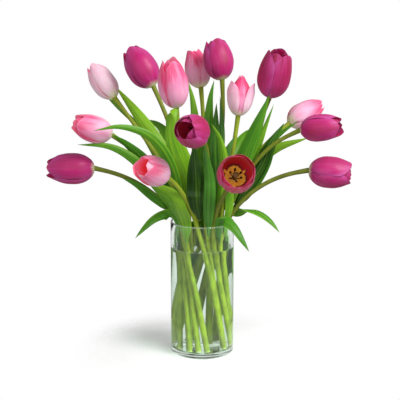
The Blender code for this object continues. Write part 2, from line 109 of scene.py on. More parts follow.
# Each tulip: bloom base, aim from base to tip, bloom length, bloom width, mouth width as a share
# of bloom width, flare of the outer petals as the same share, turn of the petals in degrees,
# the stem's bearing and radius at the rim, its turn on the way down, how long it holds its lean
# above the rim, the petals' finish, how deep the colour of the outer and of the inner petals is,
# how bright the stem is and how far the petals' tips have opened. Lengths are in millimetres.
TULIP_ROWS = {
    "01": ((-158, -20, 288), (-1.0, -0.1, 0.02), 70, 45, 0.6, 0.0, 20, 180, 38, 62,
           0.8, "magenta", 0.4, 0.55, 0.25, 0.2),
    "02": ((-131, -40, 341), (-0.84, -0.4, 0.36), 60, 38, 0.6, 0.0, 0, -160, 35, 62,
           0.8, "pink", 0.55, 0.75, 0.5, 0.5),
    "03": ((-133, 60, 382), (-0.58, 0.31, 0.75), 64, 37, 0.45, 0.0, 50, 150, 35, 62,
           1.3, "pink", 0.12, 0.45, 0.65, 0.1),
    "04": ((-73, 30, 403), (-0.53, 0.22, 0.82), 67, 46, 0.6, 0.0, 30, 168, 20, 50,
           0.8, "magenta", 0.45, 0.5, 0.3, 0.2),
    "05": ((-37, -50, 382), (-0.12, -0.2, 0.97), 72, 42, 0.55, 0.0, 90, -140, 35, 62,
           0.8, "pink", 0.72, 0.95, 0.75, 0.4),
    "06": ((-2, 88, 394), (-0.19, 0.36, 0.91), 60, 38, 0.6, 0.0, 10, 102, 35, 62,
           0.8, "pink", 0.75, 0.85, 0.75, 0.2),
    "07": ((30, 52, 410), (-0.18, 0.24, 0.95), 62, 44, 0.75, 0.0, 70, 75, 35, 62,
           0.8, "magenta", 0.6, 0.65, 0.35, 0.3),
    "08": ((52, -20, 366), (0.09, 0.08, 0.99), 59, 36, 0.4, 0.8, 90, -38, 35, 62,
           0.8, "pink", 0.25, 0.95, 0.7, 0.0),
    "09": ((98, -10, 392), (0.17, -0.27, 0.95), 72, 47, 0.7, 0.0, 40, 20, 18, 50,
           0.8, "magenta", 0.8, 0.85, 0.2, 0.6),
    "10": ((133, 62, 342), (0.81, 0.39, 0.43), 64, 38, 0.5, 0.0, 0, 45, 35, 62,
           1.0, "pink", 0.6, 0.8, 0.6, 0.2),
    "11": ((144, -10, 343), (0.93, -0.33, 0.16), 62, 39, 0.65, 0.0, 60, 10, 35, 62,
           1.15, "magenta", 0.6, 0.65, 0.3, 0.6),
    "12": ((158, 0, 281), (0.99, -0.08, -0.06), 65, 46, 0.7, 0.1, 0, -15, 38, 62,
           1.05, "magenta", 0.45, 0.5, 0.12, 0.3),
    "13": ((-3, -108, 353), (-0.4, -0.87, 0.28), 56, 45, 0.66, 0.0, 30, -78, 27, 62,
           0.8, "magenta", 0.8, 0.35, 0.4, 0.45),
    "14": ((-52, -90, 291), (-0.6, -0.7, 0.38), 54, 41, 0.7, 0.0, 80, -103, 35, 72,
           0.8, "pink", 0.5, 0.15, 0.75, 0.8),
    "15": ((44, -118, 294), (0.08, -0.92, 0.38), 46, 51, 0.9, 0.0, 30, -62, 35, 62,
           0.8, "rose", 0.85, 0.95, 0.2, 1.0),
}


def tulip(base, aim, length, width, mouth, flare, turn, bearing, radius, *looks):
    """A row of the table, its millimetres turned into metres."""
    lengths = np.array(base) / 1000, aim, length / 1000, width / 1000
    return Tulip(*lengths, mouth, flare, turn, bearing, radius / 1000, *looks)


TULIPS = {number: tulip(*row) for number, row in TULIP_ROWS.items()}

FRONT = (0.0, -1.0, 0.15)
BACK = (0.0, 1.0, 0.15)

# Each leaf: points from base to tip and width at its widest, in millimetres, the way it faces at base
# and tip, how light its green is painted to show it lit or shaded, and how grey with wax.
LEAVES = {
    "leaf_upright_back": (
        [(7, 16, 226), (7, 22, 290), (9, 28, 340), (12, 34, 382), (18, 38, 412)],
        20, FRONT, FRONT, 0.55, 0.0,
    ),
    "leaf_back_centre": (
        [(-6, 26, 226), (-7, 36, 290), (-10, 48, 342), (-15, 54, 382), (-23, 57, 412)],
        17, FRONT, FRONT, 0.75, 0.0,
    ),
    "leaf_narrow_back": (
        [(16, 4, 228), (25, 5, 288), (29, 6, 333), (28, 8, 367), (26, 10, 392)],
        12, FRONT, FRONT, 0.4, 0.6,
    ),
    "leaf_dark_narrow": (
        [(22, -2, 218), (22, -2, 264), (20, 2, 308), (20, 6, 348), (21, 10, 381)],
        20, FRONT, FRONT, 0.3, 0.1,
    ),
    "leaf_bright_right": (
        [(36, 26, 212), (57, 30, 251), (83, 33, 286), (113, 34, 309), (161, 32, 325)],
        20, FRONT, FRONT, 1.0, 0.0,
    ),
    "leaf_under_right_stem": (
        [(42, 18, 222), (60, 26, 255), (84, 31, 294), (114, 34, 327), (146, 36, 351)],
        12, FRONT, FRONT, 0.35, 0.0,
    ),
    "leaf_slim_right": (
        [(36, 18, 224), (60, 20, 265), (82, 22, 309), (95, 24, 345), (107, 26, 377)],
        12, FRONT, FRONT, 0.7, 0.0,
    ),
    "leaf_dark_right": (
        [(48, 22, 219), (69, 18, 251), (90, 14, 287), (102, 12, 317), (122, 16, 350)],
        26, FRONT, FRONT, 0.15, 0.0,
    ),
    "leaf_slim_left": (
        [(-46, 44, 232), (-72, 62, 292), (-100, 78, 336), (-134, 92, 367), (-177, 104, 411)],
        9, FRONT, FRONT, 0.7, 0.0,
    ),
    "leaf_broad_upper_left": (
        [(-38, 32, 228), (-50, 44, 277), (-72, 57, 318), (-101, 78, 356), (-136, 102, 396)],
        24, FRONT, FRONT, 0.9, 0.0,
    ),
    "leaf_dark_left": (
        [(-36, -14, 223), (-62, -22, 268), (-86, -28, 303), (-110, -34, 327), (-130, -44, 343)],
        20, FRONT, FRONT, 0.35, 0.0,
    ),
    "leaf_beside_left_stem": (
        [(-50, -13, 222), (-62, -16, 234), (-79, -18, 249), (-98, -20, 264), (-118, -22, 274)],
        12, FRONT, FRONT, 0.45, 0.0,
    ),
    "leaf_dark_centre": (
        [(-3, -33, 214), (-8, -43, 240), (-9, -62, 280), (-11, -86, 318), (-12, -98, 337)],
        28, FRONT, FRONT, 0.0, 0.0,
    ),
    "leaf_middle_right": (
        [(16, -26, 218), (23, -34, 262), (31, -40, 300), (38, -44, 322), (47, -46, 340)],
        21, FRONT, FRONT, 0.42, 0.5,
    ),
    "leaf_broad_right": (
        [(35, -8, 222), (50, -14, 269), (67, -20, 318), (81, -26, 355), (97, -30, 398)],
        26, FRONT, FRONT, 0.55, 0.0,
    ),
    "leaf_front_centre": (
        [(9, -37, 190), (9, -38, 208), (9, -46, 232), (10, -62, 280), (4, -77, 320), (1, -84, 340)],
        18, (0.15, -1.0, 0.0), FRONT, 0.42, 0.2,
    ),
    "leaf_folded_centre": (
        [(-16, -26, 226), (-22, -42, 280), (-39, -56, 333), (-42, -63, 369),
         (-41, -68, 382), (-39, -76, 379), (-37, -80, 360)],
        30, FRONT, (0.0, -0.6, 0.8), 0.82, 0.0,
    ),
    "leaf_long_left": (
        [(-26, -38, 225), (-44, -50, 297), (-71, -62, 340), (-113, -76, 358), (-154, -82, 353)],
        15, FRONT, FRONT, 0.6, 0.0,
    ),
    "leaf_low_left": (
        [(-40, -26, 219), (-66, -38, 264), (-95, -48, 303), (-132, -54, 326), (-179, -60, 330)],
        15, FRONT, FRONT, 0.65, 0.0,
    ),
    "leaf_broad_front_left": (
        [(-24, -30, 178), (-26, -32, 205), (-32, -42, 228),
         (-41, -54, 252), (-61, -62, 267), (-80, -70, 279)],
        27, (-0.6, -0.8, 0.0), FRONT, 0.82, 0.0,
    ),
    "leaf_curled_front": (
        [(20, -26, 224), (28, -46, 262), (31, -60, 308), (24, -67, 341), (12, -74, 363)],
        15, FRONT, FRONT, 0.75, 0.0,
    ),
    "leaf_front_right": (
        [(35, -19, 178), (36, -19, 206), (40, -23, 228), (41, -31, 256), (42, -42, 279), (46, -52, 300)],
        16, (0.88, -0.47, 0.0), FRONT, 0.75, 0.0,
    ),
    "leaf_drooping_left": (
        [(-37, -15, 176), (-40, -17, 208), (-51, -22, 219), (-62, -27, 219),
         (-74, -31, 213), (-86, -34, 201), (-99, -36, 186)],
        17, (-1.0, -0.3, 0.2), (-0.1, -1.0, 0.6), 0.55, 0.0,
    ),
    "leaf_drooping_right": (
        [(39, 14, 190), (40, 14, 210), (54, 8, 217), (66, 2, 221),
         (79, -5, 220), (93, -12, 214), (104, -18, 205), (115, -22, 191)],
        17, (1.0, 0.3, 0.2), (0.1, -1.0, 0.6), 0.6, 0.0,
    ),
    "leaf_drooping_front": (
        [(25, -31, 178), (25, -31, 202), (28, -38, 214), (36, -47, 214),
         (47, -56, 206), (57, -63, 192), (68, -68, 174)],
        17, (0.64, -0.76, 0.1), (0.1, -1.0, 0.5), 0.45, 0.0,
    ),
    "leaf_rear_left": (
        [(-14, 38, 212), (-30, 58, 262), (-46, 84, 305), (-66, 112, 330), (-92, 138, 338)],
        24, BACK, BACK, 0.45, 0.0,
    ),
    "leaf_rear_right": (
        [(18, 36, 212), (34, 56, 256), (52, 86, 296), (72, 116, 318), (98, 140, 322)],
        24, BACK, BACK, 0.4, 0.0,
    ),
    "leaf_drooping_rear": (
        [(1, 41, 180), (2, 41, 212), (4, 47, 223), (9, 66, 229), (14, 92, 220), (18, 112, 196)],
        15, (0.0, 1.0, 0.2), (0.0, 0.25, 1.0), 0.5, 0.0,
    ),
}


def unit(vector):
    """The vector, or each row of vectors, at length one."""
    vector = np.asarray(vector, float)
    return vector / np.linalg.norm(vector, axis=-1, keepdims=True)


def ease(share):
    """Zero below 0, one above 1, and the smooth cubic 3t^2 - 2t^3 between."""
    t = np.clip(share, 0, 1)
    return t * t * (3 - 2 * t)


def polar(bearing, radius, height):
    """A point at a bearing in degrees and a radius about the vase's axis."""
    return np.array([radius * cos(radians(bearing)), radius * sin(radians(bearing)), height])


def hermite(start, leave, end, arrive, share):
    """A cubic from start to end that leaves and arrives along the given vectors."""
    t = np.asarray(share, float)[:, None]
    return (
        (2 * t**3 - 3 * t**2 + 1) * start
        + (t**3 - 2 * t**2 + t) * leave
        + (3 * t**2 - 2 * t**3) * end
        + (t**3 - t**2) * arrive
    )


def through(points, steps):
    """The cubic whose slope at each point is half the step between its neighbours, at steps a span."""
    points = np.asarray(points, float)
    ends = np.vstack([2 * points[:1] - points[1:2], points, 2 * points[-1:] - points[-2:-1]])
    share = np.linspace(0, 1, steps, endpoint=False)
    runs = [
        hermite(ends[i], (ends[i + 1] - ends[i - 1]) / 2, ends[i + 1], (ends[i + 2] - ends[i]) / 2, share)
        for i in range(1, len(ends) - 2)
    ]
    return np.vstack([*runs, points[-1:]])


def along(points, count):
    """The same curve, cut into count steps of equal length."""
    curve = through(points, CURVE_STEPS)
    run = np.concatenate([[0], np.cumsum(np.linalg.norm(np.diff(curve, axis=0), axis=1))])
    steps = np.linspace(0, run[-1], count + 1)
    return np.column_stack([np.interp(steps, run, curve[:, axis]) for axis in range(3)])


def stem_radius(share):
    """A stem's radius along its length: thick at the cut end, even from the middle up."""
    return STEM_RADIUS + (FOOT_RADIUS - STEM_RADIUS) * np.clip(1 - np.asarray(share) / 0.6, 0, 1)


def stem_path(base, aim, bearing, radius, turn, hold):
    """A stem's centre line: up through the vase to the rim, then over to the bloom's base."""
    head = np.array(base, float) - unit(aim) * HEAD_GAP
    foot = polar(bearing + turn, radius, STEM_REST)
    neck = polar(bearing, radius, RIM)
    reach = np.linalg.norm(head - neck)
    chord = (head - neck) / reach
    climb = neck - foot
    lean = unit(0.6 * unit(climb) + 0.4 * chord)
    share = np.linspace(0, 1, 33)
    lower = hermite(foot, climb, neck, lean * np.linalg.norm(climb), share)
    arrive = unit(0.75 * unit(aim) + 0.25 * chord)
    upper = hermite(neck, lean * reach * hold, head, arrive * reach * ARRIVAL, share)
    return along(np.vstack([lower[::8], upper[8::8]]), STEM_STEPS)


def settle(paths, blooms):
    """Parts stems that are too close, clears them of other blooms, and keeps them inside the glass."""
    paths = np.array(paths)
    count, samples = paths.shape[:2]
    owner = np.repeat(np.arange(count), samples)
    thick = np.tile(stem_radius(np.linspace(0, 1, samples)), count)
    loose = np.clip((1 - np.linspace(0, 1, samples)) * 8, 0, 1)[None, :, None]
    balls = [
        (centre, reach + STEM_RADIUS + 0.001, owned)
        for owned, ball in enumerate(blooms)
        for centre, reach in ball
    ]
    for _ in range(SETTLING_ROUNDS):
        flat = paths.reshape(-1, 3)
        away = flat[:, None] - flat[None]
        distance = np.linalg.norm(away, axis=2)
        distance[owner[:, None] == owner[None]] = 1e9
        near = distance.argmin(axis=1)
        rows = np.arange(len(flat))
        lack = np.clip(thick + thick[near] + STEM_SLACK - distance[rows, near], 0, None) / 2
        shift = away[rows, near] / distance[rows, near][:, None] * lack[:, None]
        for centre, reach, bloom in balls:
            out = flat - centre
            depth = np.clip(reach - np.linalg.norm(out, axis=1), 0, None) * (owner != bloom)
            shift += unit(out) * depth[:, None]
        shift = shift.reshape(paths.shape)
        shift[:, 1:-1] = (shift[:, :-2] + 2 * shift[:, 1:-1] + shift[:, 2:]) / 4
        shift[..., 2] *= paths[..., 2] > STEM_REST + 0.010
        paths = paths + shift * loose
        paths[:, 2:-2] += 0.1 * loose[:, 2:-2] * (paths[:, 1:-3] + paths[:, 3:-1] - 2 * paths[:, 2:-2])
        across = np.linalg.norm(paths[..., :2], axis=2)
        limit = BORE - thick[:samples] - 0.001
        inside = (paths[..., 2] < RIM + 0.006) & (across > limit)
        paths[..., :2] *= np.where(inside, limit / np.maximum(across, 0.001), 1)[..., None]
    return paths


def bloom_radius(share, width, mouth):
    """The bloom's outer radius at a share of its length: a round base, then a curve in to the mouth."""
    share = np.asarray(share, float)
    low = np.sqrt(np.clip(1 - (1 - share / WIDEST) ** 2, 0, 1))
    high = 1 - (1 - mouth) * np.clip((share - WIDEST) / (1 - WIDEST), 0, 1) ** 2.4
    return width / 2 * np.where(share < WIDEST, low, high)


BALL_SHARES = (0.2, 0.45, 0.7, 0.9)


def stem_lines():
    """Every stem's centre line after they have settled against each other."""
    paths = [stem_path(t.base, t.aim, t.bearing, t.radius, t.stem_turn, t.hold) for t in TULIPS.values()]
    balls = []
    for t in TULIPS.values():
        balls.append([
            (t.base + unit(t.aim) * t.length * s, float(bloom_radius(s, t.width, t.mouth)))
            for s in BALL_SHARES
        ])
    return dict(zip(TULIPS, settle(paths, balls)))


def leaf_spread(share):
    """A leaf's width along its length, as a share of its widest: half at the base, a point at the tip."""
    share = np.asarray(share, float)
    swell = 0.6 + 0.4 * ease(share / 0.4)
    return swell * (1 - np.clip((share - 0.35) / 0.65, 0, 1) ** 1.9)


def blade_lines(points, width, face, face_tip):
    """A leaf's left edge, midrib and right edge, and the way that it faces at each station."""
    line = along(points, LEAF_STATIONS)
    share = np.linspace(0, 1, len(line))[:, None]
    ahead = unit(np.gradient(line, axis=0))
    facing = unit(unit(face) * (1 - share) + unit(face_tip) * share)
    side = unit(np.cross(ahead, facing))
    facing = np.cross(side, ahead)
    half = width / 2 * leaf_spread(share)
    fold = facing * half * 2 * LEAF_FOLD
    return line - side * half - fold, line, line + side * half - fold, facing


def laid_depth(node, lines, push):
    """How far along push each station of a leaf lies from its drawn place, read off the leaf's own
    points in the frame: the nearest point to the line through the station, measured along it."""
    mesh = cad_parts[node].data
    found = np.zeros(len(mesh.vertices) * 3)
    mesh.vertices.foreach_get("co", found)
    found = found.reshape(-1, 3)
    depths = []
    for line in lines:
        rel = found[None] - line[:, None]
        run = rel @ push
        off = np.linalg.norm(rel - run[..., None] * push, axis=2)
        best = off.argmin(axis=1)
        rows = np.arange(len(line))
        depths.append(np.where(off[rows, best] < 5e-5, run[rows, best], np.nan))
    depth = np.nanmedian(np.vstack(depths), axis=0)
    known = ~np.isnan(depth)
    rows = np.arange(len(depth))
    return np.interp(rows, rows[known], depth[known])


def grid_faces(rows, columns, closed=False):
    """Quads between neighbouring rows and columns of grid points, joined round when closed."""
    i = np.arange(rows - 1)[:, None]
    j = np.arange(columns if closed else columns - 1)[None]
    k = (j + 1) % columns
    corners = [i * columns + j, i * columns + k, (i + 1) * columns + k, (i + 1) * columns + j]
    return np.stack(corners, axis=-1).reshape(-1, 4)


def signed_volume(points, quads, fans):
    """The volume inside the faces, below zero when they point inwards: a sixth of the sum, over their
    triangles, of each triangle's first corner times the cross product of the other two."""
    triangles = np.vstack([quads[:, [0, 1, 2]], quads[:, [0, 2, 3]], fans])
    first, second, third = np.moveaxis(points[triangles], 1, 0)
    return np.sum(first * np.cross(second, third)) / 6


def end_fans(count, sides):
    """Triangles that close both ends of a stack of rings, round the two points that follow its count."""
    here = np.arange(sides)
    ahead = (here + 1) % sides
    last = count - sides
    low = np.stack([np.full(sides, count), ahead, here], axis=-1)
    high = np.stack([np.full(sides, count + 1), last + here, last + ahead], axis=-1)
    return np.vstack([low, high])


class Shell:
    """Points, faces and surface coordinates that gather into one closed mesh."""

    def __init__(self):
        self.points = np.zeros((0, 3))
        self.surface = np.zeros((0, 3))
        self.faces = []

    def join(self, points, surface, quads, fans=()):
        """Adds one closed body of quads and triangles, turned to face outwards."""
        fans = np.array(fans, int).reshape(-1, 3)
        if signed_volume(points - points.mean(axis=0), quads, fans) < 0:
            quads, fans = quads[:, ::-1], fans[:, ::-1]
        first = len(self.points)
        self.faces += [*(first + quads).tolist(), *(first + fans).tolist()]
        self.points = np.vstack([self.points, points])
        self.surface = np.vstack([self.surface, surface])

    def blade(self, surface, thickness):
        """A thin sheet from a grid of points: its two skins stand half the thickness off the grid along
        its normal and meet at the margin. Its coordinates are across -1 to 1, along 0 to 1, and skin."""
        rows, columns = surface.shape[:2]
        normal = unit(np.cross(np.gradient(surface, axis=1), np.gradient(surface, axis=0)))
        front = surface + normal * thickness[..., None] / 2
        back = surface - normal * thickness[..., None] / 2
        inner = np.zeros((rows, columns), bool)
        inner[1:-1, 1:-1] = True
        index = np.arange(rows * columns).reshape(rows, columns)
        behind = index.copy()
        behind[inner] = rows * columns + np.arange(inner.sum())
        quads = grid_faces(rows, columns)
        faces = np.vstack([quads, behind.reshape(-1)[quads][:, ::-1]])
        across, run = np.meshgrid(np.linspace(-1, 1, columns), np.linspace(0, 1, rows))
        skin = np.where(inner, 0.0, 0.5)
        coordinates = np.stack([across, run, skin], axis=-1)
        reverse = np.stack([across, run, np.ones(across.shape)], axis=-1)
        self.join(
            np.vstack([front.reshape(-1, 3), back[inner]]),
            np.vstack([coordinates.reshape(-1, 3), reverse[inner]]),
            faces,
        )

    def tube(self, path, radii, sides=12, squash=1.0, lobes=0.0, start=0.0, end=1.0):
        """A tube round a path. Its side vector is carried along the path and kept square to it, and its
        ends are closed by a fan. Its coordinates are the cosine and sine round it, and the run along."""
        path = np.asarray(path, float)
        ahead = unit(np.gradient(path, axis=0))
        side = unit(np.cross(ahead[0], (0.3, 1.0, 0.2)))
        sides_along = []
        for way in ahead:
            side = unit(side - way * (side @ way))
            sides_along.append(side)
        across = np.array(sides_along)
        other = np.cross(ahead, across) * squash
        angle = np.arange(sides) * tau / sides
        swell = 1 + lobes * np.cos(3 * angle)
        around = np.cos(angle)[None, :, None], np.sin(angle)[None, :, None]
        ring = across[:, None] * around[0] + other[:, None] * around[1]
        rings = path[:, None] + ring * (np.asarray(radii)[:, None] * swell[None])[..., None]
        run = np.broadcast_to(np.linspace(start, end, len(path))[:, None], rings.shape[:2])
        round_it = np.broadcast_to(angle, rings.shape[:2])
        coordinates = np.stack([np.cos(round_it), np.sin(round_it), run], axis=-1)
        self.join(
            np.vstack([rings.reshape(-1, 3), path[:1], path[-1:]]),
            np.vstack([coordinates.reshape(-1, 3), [[0, 0, start], [0, 0, end]]]),
            grid_faces(len(path), sides, closed=True),
            end_fans(len(path) * sides, sides),
        )

    def turned(self, profile, sides):
        """A body of revolution: the profile's radius and height swept round the vertical, closed by a
        point on the axis at each end. Its coordinates are the cosine and sine round it, and the run."""
        profile = np.asarray(profile, float)
        rim = profile[1:-1]
        angle = np.arange(sides) * tau / sides
        flat = np.stack([np.cos(angle), np.sin(angle)], axis=-1)
        heights = np.broadcast_to(rim[:, None, 1:], (len(rim), sides, 1))
        rings = np.concatenate([rim[:, None, :1] * flat[None], heights], axis=-1)
        step = np.linalg.norm(np.diff(profile, axis=0), axis=1)
        run = np.concatenate([[0], np.cumsum(step)]) / step.sum()
        coordinates = np.concatenate(
            [np.broadcast_to(flat[None], (len(rim), sides, 2)),
             np.broadcast_to(run[1:-1, None, None], (len(rim), sides, 1))], axis=-1
        )
        self.join(
            np.vstack([rings.reshape(-1, 3), [[0, 0, profile[0, 1]], [0, 0, profile[-1, 1]]]]),
            np.vstack([coordinates.reshape(-1, 3), [[0, 0, 0], [0, 0, 1]]]),
            grid_faces(len(rim), sides, closed=True),
            end_fans(len(rim) * sides, sides),
        )

    def piece(self, name, material, slot=None, nodes=(), **values):
        mesh = bpy.data.meshes.new(name)
        mesh.from_pydata(self.points.tolist(), [], self.faces)
        mesh.shade_smooth()
        mesh.set_sharp_from_angle(angle=radians(60))
        surface = mesh.attributes.new("surface", "FLOAT_VECTOR", "POINT")
        surface.data.foreach_set("vector", self.surface.astype(np.float32).ravel())
        for label, value in values.items():
            attribute = mesh.attributes.new(label, "FLOAT", "POINT")
            spread = np.broadcast_to(np.asarray(value, np.float32), len(self.points))
            attribute.data.foreach_set("value", np.ascontiguousarray(spread))
        mesh.materials.append(material)
        obj = bpy.data.objects.new(name, mesh)
        bpy.context.scene.collection.objects.link(obj)
        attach(obj, "root")
        if nodes:
            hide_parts(*nodes)
        return obj


class Value:
    """A node's output that takes part in arithmetic: each operator adds a Math node."""

    def __init__(self, finish, socket):
        self.finish = finish
        self.socket = socket

    def maths(self, operation, *inputs):
        return self.finish.node("Math", {"operation": operation}, dict(enumerate(inputs)))

    def __add__(self, other):
        return self.maths("ADD", self, other)

    def __radd__(self, other):
        return self.maths("ADD", other, self)

    def __sub__(self, other):
        return self.maths("SUBTRACT", self, other)

    def __rsub__(self, other):
        return self.maths("SUBTRACT", other, self)

    def __mul__(self, other):
        return self.maths("MULTIPLY", self, other)

    def __rmul__(self, other):
        return self.maths("MULTIPLY", other, self)

    def __truediv__(self, other):
        return self.maths("DIVIDE", self, other)

    def __pow__(self, other):
        return self.maths("POWER", self, other)

    def __abs__(self):
        return self.maths("ABSOLUTE", self)

    def between(self, low, high, start=0.0, end=1.0):
        """A smooth step from start at low to end at high."""
        settings = {"interpolation_type": "SMOOTHSTEP", "clamp": True}
        return self.finish.node("MapRange", settings, {0: self, 1: low, 2: high, 3: start, 4: end})


class Nodes:
    """The calls that add nodes to a tree."""

    def __init__(self, tree):
        self.tree = tree

    def node(self, kind, settings, inputs, output=0):
        """Adds a node: its settings first, then the values or links of its sockets."""
        node = self.tree.nodes.new("ShaderNode" + kind)
        for name, value in settings.items():
            setattr(node, name, value)
        for name, value in inputs.items():
            self.connect(node.inputs[name], value)
        return Value(self, node.outputs[output])

    def connect(self, socket, value):
        if isinstance(value, Value):
            self.tree.links.new(value.socket, socket)
        else:
            socket.default_value = value


class Finish(Nodes):
    """A material with one Principled shader."""

    def __init__(self, name, **sockets):
        self.material = bpy.data.materials.new(name)
        self.material.use_nodes = True
        super().__init__(self.material.node_tree)
        self.shader = self.tree.nodes["Principled BSDF"]
        for socket, value in sockets.items():
            self.feed(socket.replace("_", " "), value)

    def feed(self, name, value):
        """Sets or links one of the Principled shader's sockets."""
        self.connect(self.shader.inputs[name], value)

    def attribute(self, name, output="Fac"):
        return self.node("Attribute", {"attribute_name": name}, {}, output)

    def surface(self):
        """The piece's own coordinates: the vector, then its three parts."""
        vector = self.attribute("surface", "Vector")
        return (vector, *[self.node("SeparateXYZ", {}, {0: vector}, axis) for axis in range(3)])

    def place(self):
        """The point's place in the frame."""
        return self.node("TexCoord", {}, {}, "Object")

    def stretched(self, vector, scale):
        return self.node("VectorMath", {"operation": "MULTIPLY"}, {0: vector, 1: scale})

    def noise(self, vector, scale, detail=2.0, roughness=0.5):
        inputs = {"Vector": vector, "Scale": scale, "Detail": detail, "Roughness": roughness}
        return self.node("TexNoise", {}, inputs)

    def streaks(self, x, y, z, detail=2.0, roughness=0.5):
        """Noise over three numbers of the surface's own, so that it can be drawn out along any of them."""
        return self.noise(self.node("CombineXYZ", {}, {0: x, 1: y, 2: z}), 1.0, detail, roughness)

    def mix(self, factor, a, b):
        """Colour a turned towards colour b by the factor."""
        a, b = [c if isinstance(c, Value) else (*tuple(c)[:3], 1.0) for c in (a, b)]
        settings = {"data_type": "RGBA", "clamp_factor": True}
        return self.node("Mix", settings, {0: factor, 6: a, 7: b}, 2)

    def bump(self, height, strength, distance):
        inputs = {"Strength": strength, "Distance": distance, "Height": height}
        self.feed("Normal", self.node("Bump", {}, inputs))


def rgb(name, description, code):
    """A colour property whose default is a display colour written as six hex digits."""
    parts = [int(code[i : i + 2], 16) / 255 for i in (0, 2, 4)]
    linear = [c / 12.92 if c <= 0.04045 else ((c + 0.055) / 1.055) ** 2.4 for c in parts]
    return FloatVectorProperty(
        name=name, description=description, default=linear, subtype="COLOR", size=3, min=0.0, max=1.0
    )


def length(name, description, metres):
    """A length property in metres."""
    return FloatProperty(
        name=name, description=description, default=metres, subtype="DISTANCE", unit="LENGTH"
    )


def power(name, description, watts):
    """A light's power in watts."""
    return FloatProperty(name=name, description=description, default=watts, unit="POWER")


class TulipVaseSettings(bpy.types.PropertyGroup):
    radius: length("Radius", "Outside radius of the glass cylinder", VASE_RADIUS)
    height: length("Height", "Height of the glass cylinder", VASE_HEIGHT)
    wall: length("Wall", "Thickness of the glass wall", VASE_WALL)
    floor: length("Floor", "Thickness of the glass under the water", 0.008)
    heel: length("Heel", "Radius of the rounding at the foot", 0.004)
    level: length("Water level", "Height of the water's surface", WATER_HIGH.z)
    meniscus: length("Meniscus", "How far the water climbs the glass", 0.0008)
    sides: IntProperty(name="Sides", description="Faces round the cylinder", default=128, min=24)
    glass: rgb("Glass", "Colour of the glass", "F4FAF7")
    water: rgb("Water", "Colour of the water", "F4FBF2")


class TulipStemSettings(bpy.types.PropertyGroup):
    sides: IntProperty(name="Sides", description="Faces round a stem", default=14, min=6)
    under_water: rgb("In water", "Stem colour in the vase", "9EB62E")
    bright: rgb("Bright", "Colour of the brightest stems above the rim", "A0B430")
    dark: rgb("Dark", "Colour of the darkest stems above the rim", "5A6020")


class TulipPetalSettings(bpy.types.PropertyGroup):
    thickness: length("Thickness", "Petal thickness at the middle", 0.0007)
    magenta: rgb("Magenta", "Body of the magenta petals", "B81C6C")
    # painted sheen: this colour is mixed into the base colour at the petals' sides and tips and along the
    # veins
    magenta_sheen: rgb("Magenta sheen", "Sheen at the magenta petals' edges", "CE5AA2")
    magenta_deep: rgb("Magenta deep", "Streaks on the magenta petals", "98103E")
    magenta_inside: rgb("Magenta inside", "Inside of the magenta petals", "BC1A3C")
    pink: rgb("Pink", "Body of the pink petals", "F294BC")
    pink_sheen: rgb("Pink pale", "Pale parts of the pink petals", "F8D8E2")
    pink_deep: rgb("Pink deep", "Hot centre and edges of the pink petals", "E83A74")
    pink_inside: rgb("Pink inside", "Inside of the pink petals", "EC3A48")
    rose: rgb("Rose", "Body of the rose petals", "CC2462")
    # painted sheen: this colour is mixed into the base colour at the petals' sides and tips and along the
    # veins
    rose_sheen: rgb("Rose sheen", "Sheen at the rose petals' edges", "DE5C98")
    rose_deep: rgb("Rose deep", "Streaks on the rose petals", "B8183E")
    rose_inside: rgb("Rose inside", "Inside of the rose petals", "D82430")
    foot: rgb("Foot", "Pale foot of every petal", "E8E8B8")
    star: rgb("Star", "Star at the heart of an open bloom", "FFC646")


class TulipLeafSettings(bpy.types.PropertyGroup):
    thickness: length("Thickness", "Leaf thickness at the middle", 0.0009)
    # painted light and shade: a leaf's tone picks among these greens, the light green for a lit leaf and
    # the dark green for a shaded one; the same light and dark greens also colour the leaves' own pale
    # midrib, margin, back and veins and the darker base
    light: rgb("Light", "Lightest leaves", "84B626")
    middle: rgb("Middle", "Ordinary leaves", "42841A")
    dark: rgb("Dark", "Darkest leaves", "173A06")
    wax: rgb("Wax", "Grey-green wax on some leaves", "5C8858")


class TulipStudioSettings(bpy.types.PropertyGroup):
    floor: rgb("Floor", "Colour of the floor", "F6F6F6")
    size: length("Floor size", "Side of the square floor", 8.0)
    key: power("Key light", "Power of the light from the right", 38.0)
    fill: power("Fill light", "Power of the light from the front left", 9.0)
    sky: FloatProperty(name="Surround", description="Light that the white surround sheds", default=0.43)
    near: length("Floor edge", "Where the floor starts to melt into the surround", 0.10)
    far: length("Floor end", "Where the floor has melted into the surround", 0.21)
    lens: FloatProperty(name="Lens", description="Focal length in millimetres", default=100.0)


def settings():
    return bpy.context.scene.tulips


class TulipSettings(bpy.types.PropertyGroup):
    vase: PointerProperty(type=TulipVaseSettings, name="Vase", description="Glass and water")
    stem: PointerProperty(type=TulipStemSettings, name="Stems", description="Stems")
    petal: PointerProperty(type=TulipPetalSettings, name="Petals", description="Petals")
    leaf: PointerProperty(type=TulipLeafSettings, name="Leaves", description="Leaves")
    studio: PointerProperty(type=TulipStudioSettings, name="Studio", description="Floor, light and camera")


